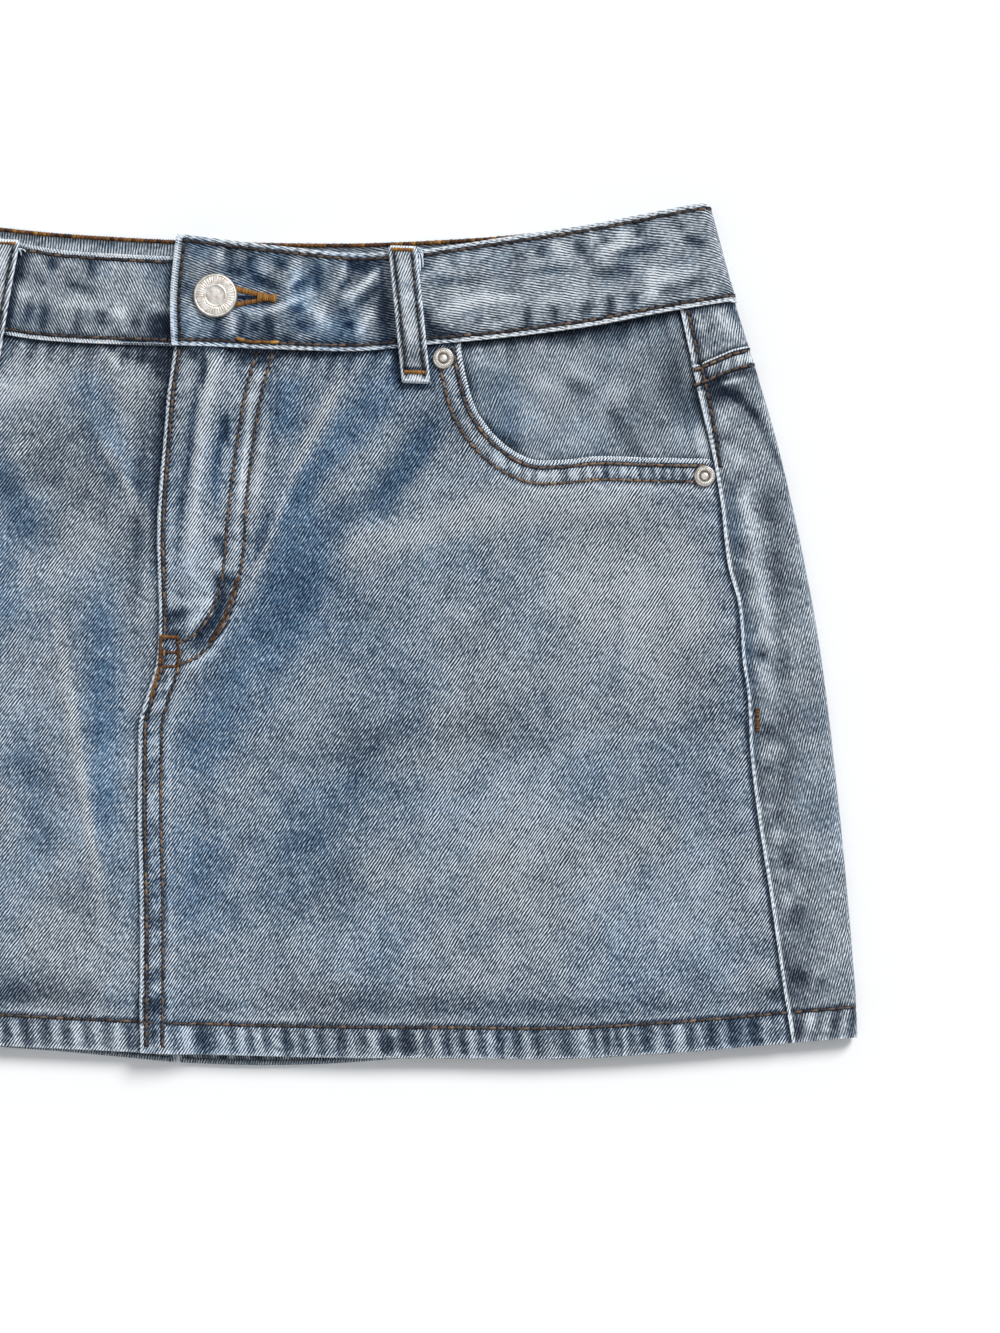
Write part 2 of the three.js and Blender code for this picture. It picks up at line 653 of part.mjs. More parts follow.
add("waistband", waistband(), bandDenim);
for (const spot of BACK_LOOPS) add(spot.name, backLoop(spot), bandDenim);
for (const side of [1, -1]) {
  const hand = side > 0 ? "left" : "right";
  add(`belt_loop_front_${hand}`, frontLoop(side), bandDenim);
  add(`front_${hand}`, frontPanel(hand), denim);
  add(`pocket_facing_${hand}`, pocketFacing(side), facingDenim);
  add(`back_yoke_${hand}`, rolledPiece(side, bandSeam, yokeLower, shares(4), () => CLOTH), denim);
  add(`back_${hand}`, rolledPiece(side, yokeSeam, hemLine, hemRows(BACK_ROWS), hemWall), denim);
  for (const spot of RIVETS) add(`rivet_${hand}_${spot.name}`, rivet(side, spot), rivetMetal);
}
add("zip_tape", zipTape(), zipTapeCloth);
add("zip_slider", zipSlider(), brass);
add("waist_button", button(), silver);

export default skirt;
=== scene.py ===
from math import cos, pi, radians, sin

import bpy
import numpy as np
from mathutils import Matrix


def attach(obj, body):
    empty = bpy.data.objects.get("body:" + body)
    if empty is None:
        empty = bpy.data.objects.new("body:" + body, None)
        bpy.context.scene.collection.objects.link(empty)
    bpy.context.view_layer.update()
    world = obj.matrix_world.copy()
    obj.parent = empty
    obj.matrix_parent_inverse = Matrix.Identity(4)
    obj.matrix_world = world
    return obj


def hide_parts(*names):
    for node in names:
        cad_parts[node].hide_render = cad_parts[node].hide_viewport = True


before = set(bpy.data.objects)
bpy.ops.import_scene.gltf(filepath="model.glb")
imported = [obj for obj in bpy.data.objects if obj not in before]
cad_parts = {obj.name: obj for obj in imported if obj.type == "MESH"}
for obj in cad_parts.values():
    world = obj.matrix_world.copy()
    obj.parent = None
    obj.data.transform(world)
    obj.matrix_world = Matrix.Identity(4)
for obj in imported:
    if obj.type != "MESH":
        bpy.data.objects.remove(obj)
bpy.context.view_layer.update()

# The stand: the skirt lies on a pale floor under a wide softbox and an even white room, and the
# camera looks straight down at the wearer's left two thirds, turned by the photograph's tilt.
MM = 0.001
VIEW_CENTRE = (124.5, -12.4, 6)  # mm
VIEW_TILT = radians(2)
VIEW_HIGH = 533.2  # mm of the skirt's plane from the top to the bottom of the picture
CAMERA_UP = 1200
SENSOR = 36
FLOOR_DROP = 0.45  # the floor's depth under the cloth, which leaves room for the stitches below

camera_data = bpy.data.cameras.new("camera")
camera_data.sensor_fit = "VERTICAL"
camera_data.sensor_height = SENSOR
camera_data.lens = SENSOR * CAMERA_UP / VIEW_HIGH
camera = bpy.data.objects.new("camera", camera_data)
camera.location = (VIEW_CENTRE[0] * MM, VIEW_CENTRE[1] * MM, (VIEW_CENTRE[2] + CAMERA_UP) * MM)
camera.rotation_euler = (0, 0, VIEW_TILT)
bpy.context.collection.objects.link(camera)
bpy.context.scene.camera = camera
bpy.context.scene.view_settings.view_transform = "Standard"

softbox_data = bpy.data.lights.new("softbox", "SUN")
softbox_data.energy = 3.3
softbox_data.angle = radians(24)
softbox = bpy.data.objects.new("softbox", softbox_data)
softbox.rotation_euler = (radians(-42), radians(38), 0)
bpy.context.collection.objects.link(softbox)

room = bpy.data.worlds.new("white room")
room.use_nodes = True
room.node_tree.nodes["Background"].inputs["Color"].default_value = (0.97, 0.985, 1, 1)
room.node_tree.nodes["Background"].inputs["Strength"].default_value = 0.54
bpy.context.scene.world = room


def linear(colour):
    """A colour written as sRGB hex, as the linear values that a shader takes."""
    parts = [int(colour[i : i + 2], 16) / 255 for i in (1, 3, 5)]
    return (*[c / 12.92 if c <= 0.04045 else ((c + 0.055) / 1.055) ** 2.4 for c in parts], 1)


def add_node(tree, kind, settings=(), links=()):
    """Adds a node to a tree. Settings go to its properties or, by name or number, to its inputs."""
    node = tree.nodes.new(kind)
    for key, value in dict(settings).items():
        if isinstance(key, str) and hasattr(node, key):
            setattr(node, key, value)
        else:
            node.inputs[key].default_value = value
    for key, socket in dict(links).items():
        tree.links.new(socket, node.inputs[key])
    return node


def new_material(name):
    """A material with an empty principled surface, its node tree and its shader."""
    material = bpy.data.materials.new(name)
    material.use_nodes = True
    tree = material.node_tree
    return material, tree, tree.nodes["Principled BSDF"]


def colour_ramp(tree, value, tones, places):
    """A ramp over a value, through tones that are written as sRGB hex, each at its place."""
    node = add_node(tree, "ShaderNodeValToRGB", (), {0: value})
    stops = node.color_ramp.elements
    for place in places[1:-1]:
        stops.new(place)
    stops[0].position, stops[-1].position = places[0], places[-1]
    for stop, tone in zip(stops, tones):
        stop.color = linear(tone)
    return node.outputs["Color"]


bpy.ops.object.select_all(action="DESELECT")
bpy.ops.mesh.primitive_plane_add(size=8, location=(0, 0, -FLOOR_DROP * MM))
floor = bpy.context.active_object
floor.name = "floor"
paper, _, paper_surface = new_material("matt white paper")
paper_surface.inputs["Roughness"].default_value = 0.9
paper_surface.inputs["Base Color"].default_value = linear("#f1f2f3")
floor.data.materials.append(paper)

# The fronts: two panels of washed right-hand denim twill. The wearer's left one is folded back at
# the centre and lapped over the other, with the fly's double row of stitches, and both have a scooped
# pocket mouth that is turned under and stitched twice. The hem is turned up and stitched once.
HANDS = ((1, "left"), (-1, "right"))  # the wearer's: x is above 0 on the left
CLOTH = 1.2  # mm, one layer
SEAM_GAP = 0.3
MID_DOWN = 149.9  # the "down" at y = 0: every place below is an x and a distance down from the waist
LINE_STEP = 1.5  # mm from point to point of a seam or a row of stitches
LAP = 8  # mm that the left front overlaps the right one
FLAP_LIFT = CLOTH + SEAM_GAP
GAP_LEAST, GAP_MOST = 1.3, 3.5  # between front and back
YOKE_FLOOR = 2.3
HEM_DEPTH = 12.2
FACING_X, FACING_DOWN = 95, 90


def curve(*rows):
    """A smooth line through rows of (place, value), level past its ends."""
    place, value = np.array(rows, float).T
    last = len(place) - 1
    after = np.minimum(np.arange(last + 1) + 1, last)
    before = np.maximum(np.arange(last + 1) - 1, 0)
    slope = (value[after] - value[before]) / (place[after] - place[before])

    def read(at):
        at = np.clip(at, place[0], place[-1])
        i = np.clip(np.searchsorted(place, at) - 1, 0, last - 1)
        span = place[i + 1] - place[i]
        t = (at - place[i]) / span
        start = value[i] * (1 + 2 * t) * (1 - t) ** 2 + slope[i] * span * t * (1 - t) ** 2
        return start + value[i + 1] * t * t * (3 - 2 * t) + slope[i + 1] * span * t * t * (t - 1)

    return read


half_width = curve((-26, 201), (12, 213), (72, 233.5), (143, 251), (215, 262.5), (287, 271.5), (306, 273))
side_seam = curve(
    (13, 190.2), (48, 199.3), (60, 202.6), (72, 205.9), (84, 208.5), (96, 210.8), (108, 212.4),
    (120, 214.5), (132, 218.4), (142, 220), (156, 221.3), (170, 223.8), (182, 224.9), (192, 225.6),
    (216, 229.2), (252, 236), (288, 242.4), (308, 246.4),
)
centre_edge = curve(
    (-6, -6.6), (38, -9.4), (61, -12), (110, -14.2), (153, -12.2), (167, -13.2), (179, -16.4), (189, -18.8),
    (200, -18.9), (229, -18), (261, -16.1), (324, -13.5),
)
# The band's lower edge and the hem differ between front and back only in the middle
band_sides = (155, 25.4), (185, 18.6), (213, 13)
band_lower_front = curve((0, 38.9), (60, 38.6), (90, 35), (120, 31.2), *band_sides)
band_lower_back = curve((0, 36), (60, 34.8), (90, 32.6), (120, 30), *band_sides)
hem_sides = (110, 319.6), (155, 318.2), (202, 314), (234, 310.2), (273, 305.5)
hem_front = curve((0, 321.6), (60, 321), *hem_sides)
hem_behind = curve((0, 323.4), (60, 322.4), *hem_sides)
pocket_mouth = [
    (103.6, 20), (104, 36), (106.6, 48), (110.6, 59.5), (117, 68.4), (125.2, 75.4), (135.3, 79.6),
    (147.3, 79.2), (160, 77.4), (182, 77.2), (222, 76.6),
]
fly_outer_row = [
    (29.6, 40.2), (24.6, 61.8), (20.8, 97.8), (20.3, 119), (18.6, 132), (14.8, 147), (9.4, 156),
    (3.4, 162.6), (-4.4, 166.4),
]
fly_inner_row = [
    (23.4, 40.2), (19.2, 56), (15.4, 84), (13.4, 108), (12.4, 128), (10.6, 138), (4.6, 151), (-2, 156.4),
    (-6, 157.4),
]
# The folds that the solids share: ridges above 0 and troughs below
folds = [
    dict(a=(58, 48), b=(18, 146), wide=15, height=0.62),
    dict(a=(75, 92), b=(44, 170), wide=22, height=-0.4),
    dict(a=(-38, 74), b=(-16, 116), wide=13, height=0.5),
    dict(a=(-58, 140), b=(-32, 262), wide=16, height=0.6),
    dict(a=(-84, 150), b=(-62, 250), wide=20, height=-0.4),
    dict(a=(110, 120), b=(72, 232), wide=30, height=0.38),
    dict(a=(176, 112), b=(150, 262), wide=30, height=0.34),
    dict(a=(-120, 110), b=(-96, 230), wide=28, height=0.4),
    dict(a=(-178, 120), b=(-160, 260), wide=30, height=0.36),
]


def ease(start, end, at):
    """0 before the start, 1 past the end, and smooth between."""
    t = np.clip((at - start) / (end - start), 0, 1)
    return t * t * (3 - 2 * t)


def along_fold(a, b, wide, x, down):
    """1 on the line from a to b, fading out to its sides and just past its ends."""
    run = np.subtract(b, a)
    length = np.hypot(*run)
    t = ((x - a[0]) * run[0] + (down - a[1]) * run[1]) / length**2
    off = ((x - a[0]) * run[1] - (down - a[1]) * run[0]) / length / wide
    return np.exp(-(off**2)) * ease(-0.25, 0.25, t) * (1 - ease(0.75, 1.25, t))


def hills(x, y, size, seed):
    """Smooth random hills from -1 to 1, about one in each square of the given size."""
    heights = np.random.default_rng(seed).uniform(-1, 1, (64, 64))
    u, v = np.broadcast_arrays(np.asarray(x) / size, np.asarray(y) / size)
    i, j = np.floor(u).astype(int), np.floor(v).astype(int)
    s, t = ease(0, 1, u - i), ease(0, 1, v - j)
    corner = lambda di, dj: heights[(i + di) % 64, (j + dj) % 64]
    upper = corner(0, 0) * (1 - s) + corner(1, 0) * s
    return upper * (1 - t) + (corner(0, 1) * (1 - s) + corner(1, 1) * s) * t


def line_distance(points, x, down):
    """Distance in the plan from a line through points."""
    x, down = np.broadcast_arrays(x, down)
    best = np.full(x.shape, 1e9)
    for (ax, ad), (bx, bd) in zip(points, points[1:]):
        t = ((x - ax) * (bx - ax) + (down - ad) * (bd - ad)) / ((bx - ax) ** 2 + (bd - ad) ** 2)
        t = np.clip(t, 0, 1)
        best = np.minimum(best, np.hypot(x - ax - t * (bx - ax), down - ad - t * (bd - ad)))
    return best


def smooth_line(points, step):
    """A smooth line through points in the plan, with even steps in mm."""
    points = np.array(points, float)
    reach = np.concatenate([[0], np.cumsum(np.hypot(*np.diff(points, axis=0).T))])
    fine = np.linspace(0, reach[-1], int(reach[-1] / 0.5) + 2)
    xy = np.array([curve(*zip(reach, points[:, k]))(fine) for k in (0, 1)]).T
    run = np.concatenate([[0], np.cumsum(np.hypot(*np.diff(xy, axis=0).T))])
    even = np.linspace(0, run[-1], max(2, int(round(run[-1] / step)) + 1))
    return np.array([np.interp(even, run, xy[:, k]) for k in (0, 1)]).T


pocket_line = smooth_line(pocket_mouth, LINE_STEP)


def back_height(x, down):
    """How high the back's cloth lies off the floor: the waistband lifts it at the top."""
    seam = band_lower_back(np.abs(x))
    return YOKE_FLOOR * (1 - ease(seam + 15, seam + 42, down))


def layer_gap(x, down):
    """The gap between the front and the back: least in the flat middle, full at the folds and edges."""
    half = half_width(down)
    side = ease(half - 75, half - 14, np.abs(x))
    pocket = ease(FACING_X - 36, FACING_X - 4, np.abs(x)) * (1 - ease(FACING_DOWN, FACING_DOWN + 24, down))
    flat = (1 - side) * (1 - ease(262, 300, down)) * ease(40, 90, down) * (1 - 0.8 * pocket)
    rise = lambda fold: fold["height"] * along_fold(fold["a"], fold["b"], fold["wide"], x, down)
    for fold in (f for f in folds if f["height"] > 0):
        flat = flat * (1 - rise(fold))
    full = 1 - flat
    for fold in (f for f in folds if f["height"] < 0):
        full = full * (1 + rise(fold) * (1 - side))
    return GAP_LEAST + (GAP_MOST - GAP_LEAST) * full


def front_height(x, down):
    """The height of the front's outer face, without the lap and the relief."""
    return back_height(x, down) + 2 * CLOTH + layer_gap(x, down)


def flap_lift(x, down):
    """How far the lapped front is carried up by the other front's edge, the zip and the hem."""
    inward = x - centre_edge(down)
    wide = 40 + (LAP + 2 - 40) * ease(144, 174, down)
    ridge = np.exp(-(((inward - 13.5) / 7) ** 2)) * 1.2 * (1 - ease(146, 162, down))
    slider = np.exp(-(((inward - 13.5) / 8) ** 2)) * 2.6 * (1 - ease(74, 90, down))
    lap = (FLAP_LIFT + 1.1 * ease(294, 306, down)) * (1 - ease(wide, wide + 16, inward))
    return lap + np.maximum(ridge, slider)


# Smaller crease lines, worn places and painted shade of the fronts: a height in mm, and how much lighter (or
# darker, below 0) and bluer the cloth is there. The lightness paints the crease lines lit and shaded, and the
# shadows cast under the band and beside the fly's lapped edge.
creases = [  # a line from x, down to x, down, then half its width, height, lightness and blue
    # The fly and its curved stitching
    (6.5, 43, 4, 64, 2.8, 0.5, 0.75, -0.3),
    (3, 64, -0.5, 112, 2.6, 0.6, 0.8, -0.4),
    (-0.5, 112, -2, 126, 3, 0.3, 0.35, 0),
    (-1, 128, 6, 136, 1.6, 0.3, 0.5, 0),
    (2.6, 41, 2, 54, 1.4, -0.5, -1.5, 0.2),
    (0, 55, -5, 100, 1.4, -0.3, -0.8, 0.2),
    (-5, 100, -6.5, 126, 1.4, -0.2, -0.6, 0.1),
    (-2.5, 42, -4, 56, 2, 0.2, 0.35, 0),
    (12, 47, 17, 62, 3.2, 0.2, 0.35, 0),
    (11.4, 66, 11, 76, 2, -0.4, -1.3, 0.5),
    (9, 76, 8, 100, 1.5, -0.2, -0.5, 0.5),
    (9, 114, 13, 121, 2.4, -0.3, -0.9, 0.2),
    (11, 122, 11, 128, 1.8, 0.2, 0.5, 0),
    (24.6, 48, 21, 63, 1.8, 0.4, 0.7, -0.2),
    (21, 62, 17.5, 106, 1.2, 0.5, 1.1, -0.4),
    (17.5, 108, 17, 124, 1.4, 0.2, 0.4, 0),
    (27.6, 62, 23, 108, 2, 0.4, 0.6, -0.3),
    (13, 42.5, 30, 43.5, 2.4, -0.3, -0.8, 0),
    (-4, 42, 0, 43, 1.8, -0.3, -1.2, 0),
    (-12, 149.5, -2, 145, 2.6, -0.6, -1.6, 0.1),
    (-10, 154.5, -4, 154.5, 2.2, -0.3, -1.3, 0),
    (9, 132, 17, 133, 3, -0.6, -1.5, 0.1),
    (13, 136, 11, 146, 2.5, -0.7, -1.6, 0.1),
    (11, 146, 2, 157, 2.5, -0.8, -1.6, 0.1),
    (8, 139.5, 0.5, 150, 1.6, 0.7, 0.9, 0),
    (0.5, 150, 0, 156, 1.4, 0.4, 0.6, 0),
    (-8, 142, 5, 141, 1.2, 0.4, 0.6, 0),
    (15.5, 144, 10, 159, 1.5, 0.4, 0.8, 0),
    (10, 160, 0, 167, 1.8, 0.4, 1, 0),
    (-12.3, 169, -12.6, 178, 1.2, 0.3, 0.7, 0),
    (-7.4, 168, -7.6, 180, 1.2, 0.3, 0.7, 0),
    (-2, 138, -6, 137, 1.6, 0, -0.5, 0),
    # The lapped front, from the fly to the side
    (38, 91, 24, 134, 1.3, 0.4, 0.55, -0.5),
    (30, 104, 26, 122, 3, -0.3, -0.4, 0.2),
    (56, 52, 38, 90, 3, 0.5, 0.35, -0.6),
    (96, 66, 52, 112, 8, -0.6, -0.45, 0.4),
    (52, 116, 22, 168, 14, -0.3, -0.35, 0.5),
    (62, 118, 112, 101, 8, 0.5, 0.35, -0.4),
    (112, 101, 176, 94, 6, 0.4, 0.35, -0.4),
    (60, 98, 86, 68, 8, 0.4, 0.3, -0.1),
    (78, 50, 42, 92, 8, -0.2, -0.2, 0.7),
    (42, 92, 38, 142, 9, 0, -0.15, 0.6),
    (94, 68, 72, 104, 5, 0, -0.1, 0.6),
    (36, 50, 34, 74, 7, 0, -0.15, 0.7),
    (18, 172, 2, 212, 14, 0, -0.15, 0.6),
    (2, 212, 12, 275, 12, 0, -0.1, 0.4),
    (66, 205, 32, 288, 22, 0, -0.1, 0.4),
    (56, 198, 140, 186, 9, -0.2, -0.32, 0),
    (62, 208, 96, 216, 8, -0.2, -0.22, 0.2),
    (90, 150, 108, 180, 10, 0.2, 0.12, 0),
    (150, 116, 196, 150, 22, 0.3, 0.16, -0.4),
    (152, 250, 204, 258, 14, 0.2, 0.15, 0.2),
    (96, 232, 146, 214, 12, 0.2, 0.12, 0),
    (40, 296, 180, 300, 6, -0.1, -0.35, 0),
    (190, 100, 204, 150, 7, 0.2, 0.2, -0.2),
    (196, 190, 216, 280, 8, 0.3, 0.15, 0.2),
    (-14, 300, -6, 303, 5, 0, -0.9, 0),
    (84, 312, 85, 318, 3, -0.3, -1.4, 0),
    (91, 311, 95, 318, 3.4, -0.3, -1.4, 0),
    (237, 288, 240, 292, 2, -0.3, -1.3, 0),
    # The other front
    (-22, 70, -23, 142, 2.6, 0, -0.54, 0),
    (-38, 41, -31.5, 49, 1.4, 0.3, 0.8, 0),
    (-31, 43.5, -14, 45, 1.9, -0.3, -0.9, 0),
    (-15, 44, -15, 52, 3, -0.3, -0.8, 0),
    (-84, 58, -58, 58, 9, 0.3, 0.54, -0.14),
    (-66, 76, -28, 114, 8, -0.4, -0.41, 0),
    (-46, 73, -29, 97, 4.5, -0.4, -0.47, 0.14),
    (-66, 91, -54, 93, 4, 0, -0.34, 0),
    (-38, 78, -18, 112, 2.4, 0.6, 0.41, -0.54),
    (-46, 50, -26, 96, 7, 0, 0, 0.61),
    (-36, 140, -31, 240, 8, 0, -0.14, 0.61),
    (-52, 158, -33, 258, 2.6, 0.6, 0.27, -0.68),
    (-82, 112, -78, 150, 12, 0, -0.14, 0.81),
    (-64, 200, -56, 250, 9, -0.2, -0.27, 0.41),
    (-150, 100, -110, 112, 8, 0.5, 0.54, -0.54),
    (-96, 70, -60, 118, 8, -0.4, -0.41, 0.68),
    (-150, 190, -96, 204, 10, -0.2, -0.41, 0),
    (-186, 130, -150, 160, 20, 0.3, 0.22, -0.54),
    (-110, 230, -90, 290, 18, 0, -0.14, 0.54),
    (-212, 280, -196, 180, 8, 0.3, 0.2, 0.27),
    (-180, 300, -40, 298, 6, -0.1, -0.47, 0),
]


def place_marks(table, x, down):
    """The height, lightness and blue that a table of crease lines and painted shade gives each place."""
    total = np.zeros((3, *np.broadcast(x, down).shape))
    for x0, down0, x1, down1, wide, *amounts in table:
        share = along_fold((x0, down0), (x1, down1), wide, x, down)
        total += np.multiply.outer(amounts, share)
    return total


def puckers(along, seed, size=6):
    """The small waves that stitching draws in a seam, from -1 to 1, uneven in length and depth."""
    wave = np.sin(2 * pi * (along / (1.5 * size) + 0.8 * hills(along, 0, 4 * size, seed)))
    return np.clip(0.62 * wave + 0.62 * hills(along, 7, size, seed + 1), -1, 1)


def band(at, distance, wide):
    """1 at a distance, fading over a width on both sides."""
    return np.exp(-(((distance - at) / wide) ** 2))


def hem_marks(along, hem, side):
    """The relief and lightness of a hem that its stitching has drawn into upright puckers: its edge worn
    light, the puckers painted lit and shaded, and painted shade along its stitch row.
    """
    pucker = puckers(along + 0.15 * hem, 3 + side, 5.2)
    near = 1 - ease(11.5, 14.5, hem)
    height = 0.4 * pucker * near * ease(0.5, 4, hem) - 0.3 * band(HEM_DEPTH, hem, 1.6)
    light = (1.05 * pucker - 0.2) * near * (0.5 + 0.5 * band(7, hem, 5)) + 0.5 * band(0, hem, 1.2)
    above = 0.3 + 0.4 * hills(along, 0, 14, 7 + side)
    light = light - 0.8 * band(HEM_DEPTH + 0.4, hem, 1.2) + above * band(15.2, hem, 1.6)
    return height, light - 0.25 * band(19, hem, 4)


def front_marks(side, x, down):
    """The relief, lightness and blue of a front's outer face, from its seams and its crease lines. The
    lightness carries worn edges and painted shade: the shadows of the band, the loops and the lapped edge,
    and dark lines in the seams and along the stitch rows.
    """
    height, light, blue = place_marks(creases, x, down)
    seam = down - band_lower_front(np.abs(x))
    edge = side_seam(down) - np.abs(x)
    mouth = line_distance(pocket_line, np.abs(x), down)
    rise, shade = hem_marks(x, hem_front(np.abs(x)) - down, side)
    height, light = height + rise, light + shade
    gathers = puckers(x + 0.3 * seam, 11 + side, 5)
    # Painted shadow under the waistband's lower edge, and its gathers painted lit and shaded below it
    light = light - 1.2 * band(0, seam, 2.4) + (0.45 * gathers - 0.2) * (1 - ease(4, 14, seam))
    height = height + 0.3 * gathers * (1 - ease(3, 14, seam)) - 0.3 * band(0, seam, 2)
    # Painted shadow of the belt loop on the cloth beside it
    beside_loop = np.abs(x) - (80.4 + 0.134 * down)
    light = light - 1.1 * np.exp(-((beside_loop / 8.5) ** 4)) * (1 - ease(50, 55, down))
    # Painted shade in the side seam's gap, and puckers painted lit and shaded beside it
    rope = puckers(down, 21 + side, 8)
    light = light - (2.3 + 0.3 * rope) * band(0.2, edge, 1.1) + (0.3 * rope + 0.1) * band(6, edge, 4)
    height = height + (0.2 + 0.3 * rope) * band(5, edge, 4) - 0.4 * band(0, edge, 1)
    # The pocket mouth: its edge worn white, puckers painted lit and shaded between its rows, and painted
    # shade along the rows
    level = ease(112, 128, np.abs(x))
    pull = puckers(np.abs(x) + (1 - level) * down, 31 + side, 3.5) * (0.3 + 0.7 * level)
    light = light + 0.9 * band(0, mouth, 1.1) + (1.3 * pull + 0.25) * band(5.8, mouth, 2.3)
    light = light - 0.5 * band(2.6, mouth, 1.1) - 0.6 * band(8.9, mouth, 1.3)
    light = light + 0.4 * level * band(11.6, mouth, 1.5)
    height = height + (0.3 + 0.35 * pull) * band(5.8, mouth, 2.4) - 0.3 * band(9, mouth, 1.5)
    if side > 0:
        inward = x - centre_edge(down)
        fly = 1 - ease(150, 160, down)
        lap = puckers(down + 0.6 * inward, 41, 6)
        # The lap edge worn white, with painted shade along its rows and puckers painted lit and shaded
        # between them
        light = light + 1.1 * band(0, inward, 1.2) - 0.5 * band(2.6, inward, 1)
        below = ease(158, 166, down)
        light = light + below * ((0.65 * lap - 0.05) * band(5.6, inward, 3) - 0.4 * band(9.6, inward, 1.2))
        light = light + below * 0.3 * band(12, inward, 1.6)
        height = height + below * ((0.35 + 0.3 * lap) * band(5.6, inward, 2.8) - 0.3 * band(9.4, inward, 1.3))
        light = light + fly * (0.4 * lap * band(5.5, inward, 3) + 0.14 * (1 - ease(28, 42, inward)))
        # Painted shade along the fly's curved rows
        for row, seed in ((fly_outer_row, 43), (fly_inner_row, 47)):
            off = line_distance(row, x, down)
            height = height - 0.25 * band(0, off, 1.4)
            light = light - 0.35 * band(0, off, 1.2) + 0.3 * puckers(down, seed, 5) * band(3, off, 2.2)
    else:
        # Painted shadow cast by the lapped front's edge on the front under it
        covered = x - centre_edge(down)
        light = light - (0.8 * band(0, covered, 3.6) + 0.5 * band(0, covered, 8)) * (1 - ease(90, 150, down))
        light = light - 0.5 * band(0, np.minimum(covered, 0), 2)
    cloud = 0.12 * hills(x, down, 34, 51) + 0.12 * hills(x, down, 13, 52) + 0.17 * hills(x, down, 4.5, 53)
    cloud = cloud + (-0.1 if side > 0 else 0.05)
    height = height + 0.16 * hills(x, down, 26, 54) + 0.08 * hills(x, down, 9, 55)
    return height, light + cloud, blue + 0.2 * hills(x, down, 40, 56) + (0.14 if side > 0 else 0)


BODY_FOLD = 2.95  # mm, radius of the outer face where the cloth turns round the sides


def plan_x(u, down, fold=BODY_FOLD, proud=0):
    """The plan place of a distance u round from the centre front, and the angle of the face there."""
    start = half_width(down) + proud - fold
    angle = pi / 2 - np.clip((u - start) / fold, 0, pi)
    x = np.minimum(u, start) - np.maximum(0, u - start - pi * fold)
    return x, angle


def rolled(side, u, down, relief, front, back, fold=BODY_FOLD, proud=0):
    """Points and normals of a face that runs over the front, round the side and under the back."""
    u, down, relief = np.broadcast_arrays(u, down, relief)
    x, angle = plan_x(u, down, fold, proud)
    turned = back(x, down) + fold * (1 + np.sin(angle))
    z = np.where(angle >= pi / 2, front(side * x, down), np.where(angle <= -pi / 2, back(x, down), turned))
    points = np.stack(
        [side * (x + (fold + relief) * np.cos(angle)), MID_DOWN - down, z + relief * np.sin(angle)], -1
    )
    return points, np.stack([side * np.cos(angle), 0 * z, np.sin(angle)], -1)


def spread(length, step, near=(0,), far=(0,)):
    """Where points go along a length: fine steps at both ends and even ones between, in mm."""
    count = max(2, round((length - near[-1] - far[0]) / step))
    middle = np.arange(1, count) / count
    share = np.concatenate([np.zeros(len(near)), middle, np.ones(len(far))])
    add = np.concatenate([near, near[-1] * (1 - middle) - far[0] * middle, -np.array(far)])
    return share, add


def patch(columns, rows, inner, outer, top, bottom, fold=BODY_FOLD, proud=0):
    """Where the columns and rows of a cut meet, between its four edges: distance round, and down."""
    (share_u, add_u), (share_d, add_d) = columns, rows
    down = 40 + 120 * share_d[:, None] + 0 * share_u
    for _ in range(10):
        low, high = inner(down), outer(down)
        u = low + (high - low) * share_u + add_u * np.sign(high - low)
        x, angle = plan_x(np.abs(u), down, fold, proud)
        upper, lower = top(np.sign(u) * x, angle < 0), bottom(np.sign(u) * x, angle < 0)
        down = upper + (lower - upper) * share_d[:, None] + add_d[:, None]
    return u, down


def twill(x, y, lean):
    """Places across and along the twill lines, which lean by an angle from the x direction."""
    a = radians(lean)
    return y * cos(a) - x * sin(a), x * cos(a) + y * sin(a)


def grid_faces(rows, columns, flip):
    """The faces between the points of a grid, turned over where flip is true."""
    index = np.arange(rows * columns).reshape(rows, columns)
    quads = np.stack([index[:-1, :-1], index[1:, :-1], index[1:, 1:], index[:-1, 1:]], -1).reshape(-1, 4)
    return (quads[:, ::-1] if flip else quads).tolist()


def mesh_piece(name, points, faces, marks, material):
    """A mesh from points in mm, with the twill map, and the marks of worn places and painted shade, and of
    blue, on its points.
    """
    mesh = bpy.data.meshes.new(name)
    mesh.from_pydata((np.asarray(points) * MM).tolist(), [], faces)
    corner = np.empty(len(mesh.loops), int)
    mesh.loops.foreach_get("vertex_index", corner)
    marks = np.array(marks, float)
    # The darkest marks level off, so that none turns flat black
    deep = np.minimum(marks[:, 2] + 0.8, 0)
    marks[:, 2] += 0.6 * np.tanh(deep / 0.6) - deep
    mesh.uv_layers.new(name="twill").data.foreach_set("uv", (marks[corner, :2] * MM).ravel())
    for k, word in ((2, "wear"), (3, "blue")):
        mesh.attributes.new(word, "FLOAT", "POINT").data.foreach_set("value", marks[:, k].copy())
    mesh.polygons.foreach_set("use_smooth", np.ones(len(mesh.polygons), bool))
    mesh.materials.append(material)
    piece = bpy.data.objects.new(name, mesh)
    bpy.context.collection.objects.link(piece)
    return piece


def make_active(piece):
    """Selects one piece alone."""
    bpy.ops.object.select_all(action="DESELECT")
    piece.select_set(True)
    bpy.context.view_layer.objects.active = piece


def thicken(piece, thick):
    """Gives a sheet its thickness, inwards from the face that shows."""
    solid = piece.modifiers.new("thickness", "SOLIDIFY")
    solid.thickness = thick * MM
    solid.offset = -1
    solid.use_even_offset = True
    make_active(piece)
    bpy.ops.object.modifier_apply(modifier=solid.name)


def join_to(piece, others):
    """Joins other pieces into a piece."""
    make_active(piece)
    for other in others:
        other.select_set(True)
    bpy.ops.object.join()


